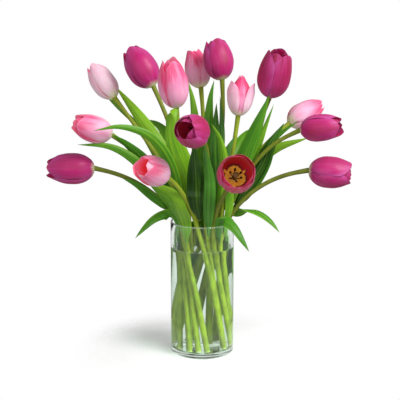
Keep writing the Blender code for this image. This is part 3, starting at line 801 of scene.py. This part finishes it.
def clear_finish(name, tint, index, smudge_scale, roughness, top, glow):
    """A clear body: transmission with faint smudges in its roughness and a faint waviness, which lets
    light through to what stands in it. Its edge at the top glows a little, as a painted highlight."""
    finish = Finish(name, IOR=index, Transmission_Weight=1.0, Emission_Strength=1.0)
    place = finish.place()
    height = finish.node("SeparateXYZ", {}, {0: place}, 2)
    level = finish.stretched(place, (1.0, 1.0, 0.0))
    out = finish.node("VectorMath", {"operation": "LENGTH"}, {0: level}, "Value")
    # painted highlight: a faint glow along the top edge of the bore, at the lip of the glass and at the
    # water's meniscus
    rim = height.between(top - 0.0016, top - 0.0006) * out.between(BORE - 0.0012, BORE - 0.0002)
    finish.feed("Emission Color", finish.mix(rim, (0.0, 0.0, 0.0), (glow, glow * 1.04, glow)))
    smudge = finish.noise(place, smudge_scale, detail=4.0)
    finish.feed("Base Color", finish.mix(smudge.between(0.3, 0.8), tint, [c * 0.985 for c in tint]))
    finish.feed("Roughness", smudge.between(0.62, 0.95, 0.0, roughness))
    finish.bump(finish.noise(place, 9.0, detail=1.0), 0.08, 0.002)
    tree = finish.tree
    shadow = finish.node("LightPath", {}, {}, "Is Shadow Ray")
    through_light = finish.node("BsdfTransparent", {}, {0: (*[0.97 * c for c in tint], 1.0)})
    body = Value(finish, finish.shader.outputs[0])
    both = finish.node("MixShader", {}, {0: shadow, 1: body, 2: through_light})
    tree.links.new(both.socket, tree.nodes["Material Output"].inputs["Surface"])
    return finish.material


def arc(centre_r, centre_z, radius, start, end, steps):
    """Points of a profile along an arc, with its angles in degrees."""
    angles = np.radians(np.linspace(start, end, steps + 1))
    return [(centre_r + radius * cos(a), centre_z + radius * sin(a)) for a in angles]


def rise(radius, low, high, steps):
    """Points of a profile straight up or down, without its ends."""
    return [(radius, z) for z in np.linspace(low, high, steps + 2)[1:-1]]


class TULIPS_OT_vase(bpy.types.Operator):
    """Adds the glass cylinder vase"""

    bl_idname = "tulips.vase"
    bl_label = "Vase"

    def execute(self, context):
        """The profile goes up the outside from a slightly hollow foot, over a round lip, and down the
        bore to a flat floor."""
        made = settings().vase
        radius, heel, wall, bore = made.radius, made.heel, made.wall, made.radius - made.wall
        lip = wall / 2
        hollow = 0.0012
        profile = [
            (0, hollow),
            (radius * 0.5, hollow),
            (radius * 0.72, hollow * 0.8),
            (radius * 0.80, hollow * 0.2),
            *arc(radius - heel, heel, heel, -90, 0, 10),
            *rise(radius, heel, made.height - lip, 12),
            *arc(radius - lip, made.height - lip, lip, 0, 180, 12),
            *rise(bore, made.height - lip, made.floor + heel, 12),
            *arc(bore - heel, made.floor + heel, heel, 0, -90, 8),
            (bore * 0.4, made.floor),
            (0, made.floor),
        ]
        shell = Shell()
        shell.turned(profile, made.sides)
        material = clear_finish("clear_glass", made.glass, 1.46, 14.0, 0.05, made.height, 0.16)
        shell.piece("vase_glass", material, "glass", ["vase"])
        return {"FINISHED"}


class TULIPS_OT_water(bpy.types.Operator):
    """Adds the water in the vase"""

    bl_idname = "tulips.water"
    bl_label = "Water"

    def execute(self, context):
        """The profile keeps just inside the glass, so that light meets no air between them, and its
        surface rises to the wall by a falling exponential."""
        made = settings().vase
        into_glass = 0.0002
        reach = made.radius - made.wall + into_glass
        heel = made.heel + into_glass
        low = made.floor - into_glass
        inward = np.array([0.0, 0.0004, 0.001, 0.002, 0.0035, 0.006, 0.012, 0.025])
        edge = [
            (reach - d, made.level - made.meniscus * (1 - np.exp(-d / 0.0018))) for d in inward
        ]
        profile = [
            (0, low),
            (reach * 0.5, low),
            *arc(reach - heel, low + heel, heel, -90, 0, 8),
            *rise(reach, low + heel, made.level, 8),
            *edge,
            (0, made.level - made.meniscus),
        ]
        shell = Shell()
        shell.turned(profile, made.sides)
        material = clear_finish("vase_water", made.water, 1.333, 30.0, 0.02, made.level, 0.10)
        shell.piece("vase_water", material, "water", ["water"])
        return {"FINISHED"}


def stem_finish():
    """Yellow-green in the water and duller above the rim, with fine lengthwise ribs and mottling."""
    made = settings().stem
    finish = Finish("tulip_stem", Subsurface_Weight=0.15, Subsurface_Scale=0.003, Specular_IOR_Level=0.2)
    vector, _, _, run = finish.surface()
    place = finish.place()
    height = finish.node("SeparateXYZ", {}, {0: place}, 2)
    ribs = finish.noise(finish.stretched(vector, (9.0, 9.0, 3.0)), 1.0, detail=3.0)
    mottle = finish.noise(place, 55.0, detail=3.0)
    above = finish.mix(finish.attribute("tone") + (mottle - 0.5) * 0.5, made.dark, made.bright)
    below = finish.mix(mottle.between(0.35, 0.7), made.under_water, [c * 0.66 for c in made.under_water])
    colour = finish.mix(height.between(0.175, 0.235), below, above)
    colour = finish.mix(ribs.between(0.5, 0.75, 0.0, 0.45), colour, [c * 0.55 for c in made.under_water])
    cut = finish.mix(run.between(0.0, 0.01, 0.6, 0.0), colour, (0.75, 0.80, 0.45))
    finish.feed("Base Color", cut)
    finish.feed("Roughness", mottle.between(0.3, 0.7, 0.36, 0.52))
    finish.bump(ribs, 0.35, 0.0004)
    return finish.material


class TULIPS_OT_stems(bpy.types.Operator):
    """Adds the fifteen stems"""

    bl_idname = "tulips.stems"
    bl_label = "Stems"

    def execute(self, context):
        """Each stem is a tube along its settled line, which ends in a small dome inside the bloom."""
        material = stem_finish()
        rng = np.random.default_rng(5)
        for number, path in STEM_LINES.items():
            tulip = TULIPS[number]
            radii = stem_radius(np.linspace(0, 1, len(path)))
            knots = rng.uniform(0.95, 1.05, 12)
            radii = radii * np.interp(np.linspace(0, 11, len(path)), np.arange(12), knots)
            neck = np.linspace(0.0, 1.0, 5)
            dome = tulip.base + unit(tulip.aim) * (0.0004 + 0.0024 * neck[:, None])
            dome_radii = 0.0040 * np.sqrt(1 - 0.85 * neck**2)
            radii[-6:] += np.linspace(0, 0.0006, 6)
            shell = Shell()
            shell.tube(np.vstack([path, dome]), np.concatenate([radii, dome_radii]), settings().stem.sides)
            shell.piece("tulip_stem_" + number, material, "stem", ["stem_" + number], tone=tulip.stem_tone)
        return {"FINISHED"}


def petal_finish(kind, foot_reach, star_reach, glow):
    """Satin petal: a deeper flame up the middle, paler edges (a painted sheen on the magenta and rose
    petals, their own pale colour on the pink ones), fine lengthwise veins, a pale foot, and an inside of
    its own with a jagged star round the heart. The inside skin glows a little in its own colour, which is
    painted light."""
    made = settings().petal
    body, sheen, deep, inside = [
        getattr(made, label) for label in (kind, kind + "_sheen", kind + "_deep", kind + "_inside")
    ]
    finish = Finish(
        "petal_" + kind, Subsurface_Weight=0.25, Subsurface_Scale=0.004, Sheen_Weight=0.10,
        Sheen_Roughness=0.4, Specular_IOR_Level=0.35, Emission_Strength=glow,
    )
    finish.feed("Subsurface Radius", (1.0, 0.35, 0.35))
    _, across, run, skin = finish.surface()
    tone = finish.attribute("tone")
    petal = finish.attribute("petal")
    spread = abs(across)
    veins = finish.streaks(across * 26.0, run * 1.6, petal * 7.3, detail=3.0, roughness=0.6)
    broad = finish.streaks(across * 5.0, run * 2.2, petal * 3.1)
    flame = (1.0 - spread) * 0.5 + (veins - 0.5) * 1.1 + (broad - 0.5) * 0.9
    flame = flame * run.between(0.05, 0.45) * (0.45 + tone)
    # painted sheen: on the magenta and rose petals the sides and tips turn towards the sheen colour, with
    # paler patches at random from the broad noise
    edges = (spread ** 2.5) * 0.60 + run.between(0.72, 1.0) * 0.35 + (broad - 0.45) * 1.0
    if kind == "pink":
        # the pink petals' pale parts are their own colour, set by the bloom's tone
        edges = 0.92 - tone * 1.0 - run.between(0.35, 1.0) * 0.25 + (broad - 0.5) * 0.9
        flame = (spread ** 2.5) * 0.45 + run.between(0.35, 1.0) * 0.65 + (veins - 0.5) * 1.1
        flame = (flame + (broad - 0.5) * 0.8) * (0.15 + tone * 1.35)
    outside = finish.mix(edges, body, sheen)
    outside = finish.mix(flame.between(0.15, 0.85), outside, deep)
    # lighter streaks along the veins in the sheen colour: the petals' own veining, and on the magenta and
    # rose petals also painted sheen
    outside = finish.mix(veins.between(0.52, 0.78, 0.0, 0.26), outside, sheen)
    foot = run + (veins - 0.5) * 0.10 + spread * 0.05
    outside = finish.mix(foot.between(0.0, foot_reach, 1.0, 0.0), outside, made.foot)
    within = finish.mix(run.between(0.20, 0.60) * (1.3 - tone), [c * 0.55 for c in inside], inside)
    within = finish.mix(veins.between(0.4, 0.75, 0.0, 0.5), within, [c * 0.7 for c in inside])
    within = finish.mix(run.between(0.60, 1.0, 0.0, 0.75), within, body)
    rays = run + (veins - 0.5) * 0.16 + spread * 0.05
    halo = rays.between(star_reach, star_reach * 1.25, 0.85, 0.0)
    within = finish.mix(halo, within, (0.06, 0.008, 0.010))
    within = finish.mix(rays.between(star_reach * 0.75, star_reach * 0.95, 1.0, 0.0), within, made.star)
    streaks = veins.between(0.50, 0.60, 0.0, 0.85)
    within = finish.mix(streaks * rays.between(0.02, star_reach, 1.0, 0.0), within, (0.17, 0.03, 0.006))
    within = finish.mix(spread.between(0.75, 1.0) * 0.5, within, body)
    finish.feed("Base Color", finish.mix(skin, outside, within))
    # painted light: the inside skin glows in its own colour, standing in for daylight that comes through
    # the petals and lights the cup from within
    finish.feed("Emission Color", finish.mix(skin, (0.0, 0.0, 0.0), within))
    finish.feed("Roughness", broad.between(0.3, 0.7, 0.42, 0.56))
    finish.bump(veins, 0.35, 0.0005)
    return finish.material


PETAL_ROWS = 30
PETAL_COLUMNS = 25


def petal_surface(bloom, centre, inner, rng):
    """One petal as a grid in the bloom's own frame, whose +Z is its axis. A column's share a is the
    sine of an even spread, its top is an ellipse in a with a slight point, and a row's height v is its
    share of that top. The point lies at the bloom's radius for v, at a times the half angle for v from
    the petal's centre, with a crease along the middle, a lift of one margin and a wavy rim."""
    size, width, mouth, flare = bloom.length, bloom.width, bloom.mouth, bloom.flare
    egg = inner and flare > 0.5
    closed = 0.45 if egg else (1 - bloom.opened) * (0.50 if inner else 0.22)
    q = np.linspace(-1, 1, PETAL_COLUMNS)[None]
    s = (np.linspace(0, 1, PETAL_ROWS) ** 1.35)[:, None]
    a = np.sin(q * pi / 2)
    crown_drop = (0.10 if egg else 0.26 if inner else 0.30) + rng.uniform(-0.03, 0.03)
    point = 0.10 + rng.uniform(-0.04, 0.06)
    crown = 1 - crown_drop * ((1 - point) * (1 - np.cos(q * pi / 2)) + point * np.abs(a))
    tall = (0.985 if inner else 1.0) * (1 + rng.uniform(-0.02, 0.01))
    v = s * crown
    height = v * tall
    radius = bloom_radius(height, width, mouth)
    radius = np.hypot(radius, 0.0034 * np.clip(1 - v / 0.12, 0, 1))
    half_angle = radians(62 if inner else 50 if flare > 0.5 else 66) * (0.84 + 0.16 * ease(v / 0.4))
    angle = centre + a * half_angle + rng.uniform(-0.05, 0.05)
    mid = np.exp(-((a / 0.09) ** 2))
    body = ease(v / 0.15)
    radius = radius * (1 + body * (0.035 * (1 - a**2) - 0.02))
    radius = radius - body * (0.0022 if inner else 0.0) - 0.0006 * mid * body * (1 - 0.5 * v)
    radius = radius + body * 0.0006 * a
    phase = rng.uniform(0, tau, 3)
    ripple = np.sin(9 * v + phase[0]) * a**4
    ripple = ripple + 0.6 * np.sin(4 * angle * 2 + phase[1]) * ease((s - 0.7) / 0.3)
    radius = radius + 0.0007 * ripple * body
    curl = rng.uniform(-0.002, 0.0012) - (0.001 if inner else 0.0)
    radius = radius + curl * ease((height - 0.75) / 0.25)
    radius = radius * (1 - closed * ease((height - 0.55) / 0.45) * (1 - 0.35 * a**2))
    z = height * size
    x, y = radius * np.cos(angle), radius * np.sin(angle)
    if flare and not inner:
        lean = flare * width / 2 * height**3
        x = x + lean * cos(centre)
        y = y + lean * sin(centre)
        z = z - 0.2 * flare * size * height**3
    grid = np.stack(np.broadcast_arrays(x, y, z), axis=-1)
    fade = (1 - np.abs(a) ** 6) * (1 - s**8) * np.clip(s / 0.02, 0, 1)
    return grid, settings().petal.thickness * np.broadcast_to(fade, grid.shape[:2])


def bloom_turn(aim, turn):
    """The turn from a bloom's own frame to the vase's, as a 3 by 3 array."""
    quaternion = Vector(aim).to_track_quat("Z", "Y") @ Quaternion((0, 0, 1), radians(turn))
    return np.array(quaternion.to_matrix())


class TULIPS_OT_blooms(bpy.types.Operator):
    """Adds the petals of the fifteen blooms: an outer and an inner whorl of three each"""

    bl_idname = "tulips.blooms"
    bl_label = "Blooms"

    def execute(self, context):
        finishes = {
            "magenta": petal_finish("magenta", 0.20, 0.14, 0.08),
            "pink": petal_finish("pink", 0.34, 0.14, 0.26),
            "rose": petal_finish("rose", 0.24, 0.24, 0.14),
        }
        rng = np.random.default_rng(11)
        for number, bloom in TULIPS.items():
            matrix = bloom_turn(bloom.aim, bloom.turn)
            for whorl, offset in (("outer", 0.0), ("inner", pi / 3)):
                shell = Shell()
                marks = []
                for k in range(3):
                    inner = whorl == "inner"
                    grid, thickness = petal_surface(bloom, offset + k * tau / 3, inner, rng)
                    placed = grid @ matrix.T + bloom.base
                    before = len(shell.points)
                    shell.blade(placed, thickness)
                    marks.append(np.full(len(shell.points) - before, rng.uniform(0, 10)))
                shell.piece(
                    f"bloom_{number}_{whorl}_petals",
                    finishes[bloom.finish],
                    "petal_" + bloom.finish,
                    ["bloom_" + number] if whorl == "outer" else (),
                    tone=bloom.outer_tone if whorl == "outer" else bloom.inner_tone,
                    petal=np.concatenate(marks),
                )
        return {"FINISHED"}


def heart_finish(name, low, high):
    """Soft plant tissue that changes colour along its length, with a fine grain."""
    finish = Finish(name, Subsurface_Weight=0.1, Subsurface_Scale=0.002, Specular_IOR_Level=0.15)
    _, _, _, run = finish.surface()
    grain = finish.noise(finish.place(), 900.0, detail=2.0)
    colour = finish.mix(run.between(0.35, 0.5), low, high)
    finish.feed("Base Color", finish.mix(grain.between(0.4, 0.7, 0.0, 0.5), colour, [c * 0.6 for c in low]))
    finish.feed("Roughness", grain.between(0.3, 0.7, 0.5, 0.8))
    finish.bump(grain, 0.4, 0.0003)
    return finish.material


class TULIPS_OT_hearts(bpy.types.Operator):
    """Adds the pistil and the six stamens inside each bloom"""

    bl_idname = "tulips.hearts"
    bl_label = "Pistils and stamens"

    def execute(self, context):
        """A pistil is a three-lobed tube with a spread stigma; a stamen is a tapering filament that leans
        out from it and carries a long flattened anther."""
        pistil = heart_finish("pistil", (0.10, 0.09, 0.02), (0.14, 0.08, 0.02))
        stamen = heart_finish("stamen", (0.22, 0.13, 0.03), (0.030, 0.010, 0.008))
        rng = np.random.default_rng(23)
        for number, bloom in TULIPS.items():
            matrix = bloom_turn(bloom.aim, bloom.turn)
            rise_to = 0.40 * min(bloom.length, 0.056)
            run = np.array([0.0, 0.2, 0.5, 0.8, 0.9, 0.96, 1.0])
            spine = np.stack([0 * run, 0 * run, 0.002 + rise_to * run], axis=-1)
            shell = Shell()
            radii = 0.0030 * np.array([0.8, 1.0, 1.05, 0.8, 1.15, 1.45, 0.7])
            shell.tube(spine @ matrix.T + bloom.base, radii, sides=18, lobes=0.18)
            shell.piece(f"bloom_{number}_pistil", pistil)
            shell = Shell()
            for k in range(6):
                bearing = k * pi / 3 + rng.uniform(-0.12, 0.12)
                out = 0.0050 + 0.0042 * np.linspace(0, 1, 12) ** 0.7
                up = 0.0025 + rise_to * (1.0 + rng.uniform(-0.06, 0.06)) * np.linspace(0, 1, 12)
                line = np.stack([out * cos(bearing), out * sin(bearing), up], axis=-1)
                radii = 0.001 * np.array([1.0, 0.9, 0.8, 0.7, 0.6, 1.1, 1.5, 1.7, 1.7, 1.5, 1.1, 0.5])
                shell.tube(line @ matrix.T + bloom.base, radii, sides=8, squash=0.7)
            shell.piece(f"bloom_{number}_stamens", stamen)
        return {"FINISHED"}


def leaf_finish():
    """Green painted lighter or darker by how lit each leaf is and a little lighter on one half of the
    blade, with a satin face, close parallel veins, a light midrib, a pale margin and a darker base.
    """
    made = settings().leaf
    finish = Finish("tulip_leaf", Subsurface_Weight=0.12, Subsurface_Scale=0.003, Specular_IOR_Level=0.28)
    finish.feed("Subsurface Radius", (0.5, 1.0, 0.2))
    _, across, run, skin = finish.surface()
    tone = finish.attribute("tone")
    wax = finish.attribute("wax")
    leaf = finish.attribute("leaf")
    place = finish.place()
    spread = abs(across)
    fine = finish.streaks(across * 34.0, run * 1.5, leaf, detail=3.0, roughness=0.6)
    broad = finish.streaks(across * 6.0, run * 1.2, leaf * 2.0)
    mottle = finish.noise(place, 26.0, detail=3.0)
    # painted light and shade: the leaf's tone sets how lit its green is painted, from the dark through the
    # middle to the light green, and one half of the blade is painted a little lighter than the other; the
    # noise adds patches at random
    shade = tone + (broad - 0.5) * 0.95 + (mottle - 0.5) * 0.35 + across * 0.12
    colour = finish.mix(shade.between(0.0, 0.5), made.dark, made.middle)
    colour = finish.mix(shade.between(0.5, 1.0), colour, made.light)
    colour = finish.mix(fine.between(0.5, 0.72, 0.0, 0.32), colour, made.light)
    colour = finish.mix(fine.between(0.5, 0.28, 0.0, 0.35), colour, made.dark)
    rib = spread.between(0.0, 0.07, 1.0, 0.0)
    colour = finish.mix(rib * 0.25, colour, made.light)
    margin = spread.between(0.90, 1.0) * 0.35
    colour = finish.mix(margin, colour, made.light)
    colour = finish.mix(run.between(0.0, 0.22, 0.35, 0.0), colour, made.dark)
    colour = finish.mix(wax * (0.35 + broad * 0.6), colour, made.wax)
    colour = finish.mix(skin * 0.25, colour, made.light)
    finish.feed("Base Color", colour)
    finish.feed("Roughness", broad.between(0.3, 0.7, 0.32, 0.48))
    finish.bump(fine, 0.35, 0.0005)
    return finish.material


LEAF_STEPS = 4
LEAF_COLUMNS = 15


def leaf_surface(name, rng):
    """One leaf as a grid. Its edges and midrib are the frame's, moved to where it was laid. A column's
    share a is the sine of an even spread: the point goes out by a times the half width, which draws in
    towards the base, and back by |a|^1.5 times the fold, and the margin waves towards and away from
    the face."""
    points, width, face, face_tip, _, _ = LEAVES[name]
    points, width = np.array(points) / 1000, width / 1000
    left, middle, right, facing = blade_lines(points, width, face, face_tip)
    push = unit(np.add(face, face_tip))
    move = laid_depth(name, (left, middle, right), push)[:, None] * push
    lines = np.concatenate([left + move, middle + move, right + move, facing], axis=1)
    left, middle, right, facing = np.split(through(lines, LEAF_STEPS), 4, axis=1)
    left[-1], right[-1] = 0.9 * left[-1] + 0.1 * left[-2], 0.9 * right[-1] + 0.1 * right[-2]
    q = np.linspace(-1, 1, LEAF_COLUMNS)
    a = np.sin(q * pi / 2)[None, :, None]
    share = np.linspace(0, 1, len(middle))[:, None, None]
    sheath = 0.35 + 0.65 * ease(share / 0.16)
    half = ((right - left) / 2)[:, None] * sheath
    fold = ((left + right) / 2 - middle)[:, None]
    phase = rng.uniform(0, tau, 2)
    side = np.where(a < 0, np.sin(share * 11 + phase[0]), np.sin(share * 13 + phase[1]))
    wave = unit(facing)[:, None] * side * np.abs(a) ** 2.5 * 0.035 * width * np.sin(share * pi)
    grid = middle[:, None] + half * a + fold * np.abs(a) ** 1.5 + wave
    fade = (1 - np.abs(a[..., 0]) ** 4) * (1 - share[..., 0] ** 6) * (0.6 + 0.4 * (1 - share[..., 0]))
    return grid, settings().leaf.thickness * np.broadcast_to(fade, grid.shape[:2])


class TULIPS_OT_leaves(bpy.types.Operator):
    """Adds the leaves"""

    bl_idname = "tulips.leaves"
    bl_label = "Leaves"

    def execute(self, context):
        material = leaf_finish()
        rng = np.random.default_rng(31)
        for name, (*_, tone, wax) in LEAVES.items():
            grid, thickness = leaf_surface(name, rng)
            shell = Shell()
            shell.blade(grid, thickness)
            seed = rng.uniform(0, 20)
            shell.piece("tulip_" + name, material, "leaf", [name], tone=tone, wax=wax, leaf=seed)
        return {"FINISHED"}


# Each sheath: bearing and half angle in degrees about its radius, its lowest and highest point, and tone,
# which is painted light and shade: how lit its green is painted.
SHEATHS = (
    # bearing, radius, half angle, low, high, tone (painted light and shade)
    (100, 0.0420, 32, 0.120, 0.196, 0.30),
    (66, 0.0408, 34, 0.104, 0.200, 0.45),
    (140, 0.0410, 20, 0.128, 0.196, 0.35),
    (34, 0.0420, 24, 0.078, 0.194, 1.00),
    (8, 0.0410, 15, 0.080, 0.180, 0.85),
    (178, 0.0420, 15, 0.090, 0.192, 0.60),
)


class TULIPS_OT_sheaths(bpy.types.Operator):
    """Adds the leaves' lower ends, which wrap the stems in the neck of the vase"""

    bl_idname = "tulips.sheaths"
    bl_label = "Leaf sheaths"

    def execute(self, context):
        """Each sheath is a piece of a cylinder about the vase's axis: its bearing is the middle one plus
        a times the half angle, where a runs from -1 to 1. The half angle is narrow at the foot, swells
        towards the top and draws in to a round end, and the radius waves a little."""
        material = leaf_finish()
        rng = np.random.default_rng(47)
        shell = Shell()
        tones = []
        for bearing, radius, half_angle, low, high, tone in SHEATHS:
            a = np.linspace(-1, 1, 11)[None]
            v = np.linspace(0, 1, 17)[:, None]
            swell = (0.12 + 0.88 * ease(v / 0.7)) * np.sqrt(1.02 - np.clip((v - 0.7) / 0.3, 0, 1) ** 2)
            angle = radians(bearing) + a * radians(half_angle) * swell + 0.10 * (v - 0.5)
            r = radius - 0.0012 * a**2 + 0.0005 * np.sin(7 * v + rng.uniform(0, tau))
            z = np.broadcast_to(low + (high - low) * v, angle.shape)
            grid = np.stack([r * np.cos(angle), r * np.sin(angle), z], axis=-1)
            thin = (1 - a**4) * (1 - v**6) * np.clip(v / 0.05, 0, 1)
            before = len(shell.points)
            shell.blade(grid, settings().leaf.thickness * thin)
            tones.append(np.full(len(shell.points) - before, tone))
        shell.piece("tulip_leaf_sheaths", material, "leaf", tone=np.concatenate(tones), wax=0.0, leaf=3.7)
        return {"FINISHED"}


WHITE = (1.0, 1.0, 1.0, 1.0)
# How much of the surround a glint behind glass keeps, and how much of it other glossy rays lose.
GLINT_SHARE = 0.4
GLOSS_LOSS = 0.6
CAMERA_PLACE = (-0.0033, -1.6215, 0.5953)
CAMERA_DIP = 12.493


def soft_box(name, place, target, size, power):
    """An area light aimed at a point."""
    light = bpy.data.lights.new(name, "AREA")
    light.shape = "DISK"
    light.size = size
    light.energy = power
    lamp = bpy.data.objects.new(name, light)
    lamp.location = place
    lamp.rotation_euler = (Vector(target) - Vector(place)).to_track_quat("-Z", "Y").to_euler()
    bpy.context.scene.collection.objects.link(lamp)


class TULIPS_OT_studio(bpy.types.Operator):
    """Adds the floor, the lights, the white surround and the camera"""

    bl_idname = "tulips.studio"
    bl_label = "Studio"

    def execute(self, context):
        made = settings().studio
        half = made.size / 2
        below = -0.0004
        mesh = bpy.data.meshes.new("studio_floor")
        corners = [(-half, -half, below), (half, -half, below), (half, half, below), (-half, half, below)]
        mesh.from_pydata(corners, [], [(0, 1, 2, 3)])
        floor = bpy.data.objects.new("studio_floor", mesh)
        bpy.context.scene.collection.objects.link(floor)
        finish = Finish("studio_floor", Roughness=0.9, Specular_IOR_Level=0.1, Emission_Strength=0.05)
        finish.feed("Emission Color", WHITE)
        grain = finish.noise(finish.place(), 40.0, detail=3.0)
        worn = [c * 0.99 for c in made.floor]
        finish.feed("Base Color", finish.mix(grain.between(0.3, 0.7), made.floor, worn))
        reach = finish.node("VectorMath", {"operation": "LENGTH"}, {0: finish.place()}, "Value")
        finish.feed("Alpha", reach.between(made.near, made.far, 1.0, 0.0))
        mesh.materials.append(finish.material)
        soft_box("key_light", (1.1, -0.9, 1.5), (0.0, 0.0, 0.2), 1.0, made.key)
        soft_box("fill_light", (-0.6, -1.7, 0.75), (0.0, 0.0, 0.3), 1.6, made.fill)
        world = bpy.data.worlds.new("white_surround")
        world.use_nodes = True
        nodes = Nodes(world.node_tree)
        path = {
            name: nodes.node("LightPath", {}, {}, name)
            for name in ("Is Camera Ray", "Is Transmission Ray", "Is Glossy Ray", "Transmission Depth")
        }
        glossy = path["Is Glossy Ray"]
        direct = path["Is Camera Ray"].maths("MAXIMUM", path["Is Camera Ray"], path["Is Transmission Ray"])
        clamped = {"operation": "MULTIPLY", "use_clamp": True}
        glint = nodes.node("Math", clamped, {0: glossy, 1: path["Transmission Depth"]})
        bright = nodes.node("Math", {"operation": "MAXIMUM"}, {0: direct, 1: glint * GLINT_SHARE})
        strength = glossy.maths("MULTIPLY_ADD", glossy, -GLOSS_LOSS * made.sky, made.sky)
        shed = nodes.node("Background", {}, {"Color": WHITE, "Strength": strength})
        seen = nodes.node("Background", {}, {"Color": WHITE})
        both = nodes.node("MixShader", {}, {0: bright, 1: shed, 2: seen})
        nodes.connect(world.node_tree.nodes["World Output"].inputs["Surface"], both)
        scene = context.scene
        scene.world = world
        scene.view_settings.view_transform = "Standard"
        camera = bpy.data.objects.new("camera", bpy.data.cameras.new("camera"))
        camera.data.lens = made.lens
        camera.data.sensor_width = 36.0
        camera.location = CAMERA_PLACE
        camera.rotation_euler = (radians(90 - CAMERA_DIP), 0.0, 0.0)
        scene.collection.objects.link(camera)
        scene.camera = camera
        return {"FINISHED"}


class TULIPS_PT_bouquet(bpy.types.Panel):
    """Lists the sizes and colours, and a button for each group of pieces"""

    bl_idname = "TULIPS_PT_bouquet"
    bl_label = "Tulips in a vase"
    bl_space_type = "VIEW_3D"
    bl_region_type = "UI"
    bl_category = "Tulips"

    def draw(self, context):
        for label in ("vase", "stem", "petal", "leaf", "studio"):
            group = getattr(context.scene.tulips, label)
            box = self.layout.box()
            box.label(text=label.capitalize())
            for name in group.__annotations__:
                box.prop(group, name)
        for operator in OPERATORS:
            self.layout.operator(operator.bl_idname)


OPERATORS = (
    TULIPS_OT_studio,
    TULIPS_OT_vase,
    TULIPS_OT_water,
    TULIPS_OT_stems,
    TULIPS_OT_blooms,
    TULIPS_OT_hearts,
    TULIPS_OT_leaves,
    TULIPS_OT_sheaths,
)
GROUPS = (
    TulipVaseSettings,
    TulipStemSettings,
    TulipPetalSettings,
    TulipLeafSettings,
    TulipStudioSettings,
    TulipSettings,
)


def register():
    for cls in (*GROUPS, *OPERATORS, TULIPS_PT_bouquet):
        bpy.utils.register_class(cls)
    bpy.types.Scene.tulips = PointerProperty(
        type=TulipSettings, name="Tulips", description="Tulips in a vase"
    )


def unregister():
    del bpy.types.Scene.tulips
    for cls in reversed((*GROUPS, *OPERATORS, TULIPS_PT_bouquet)):
        bpy.utils.unregister_class(cls)


STEM_LINES = stem_lines()


def main():
    register()
    for operator in OPERATORS:
        group, name = operator.bl_idname.split(".")
        getattr(getattr(bpy.ops, group), name)()


if __name__ == "__main__":
    main()
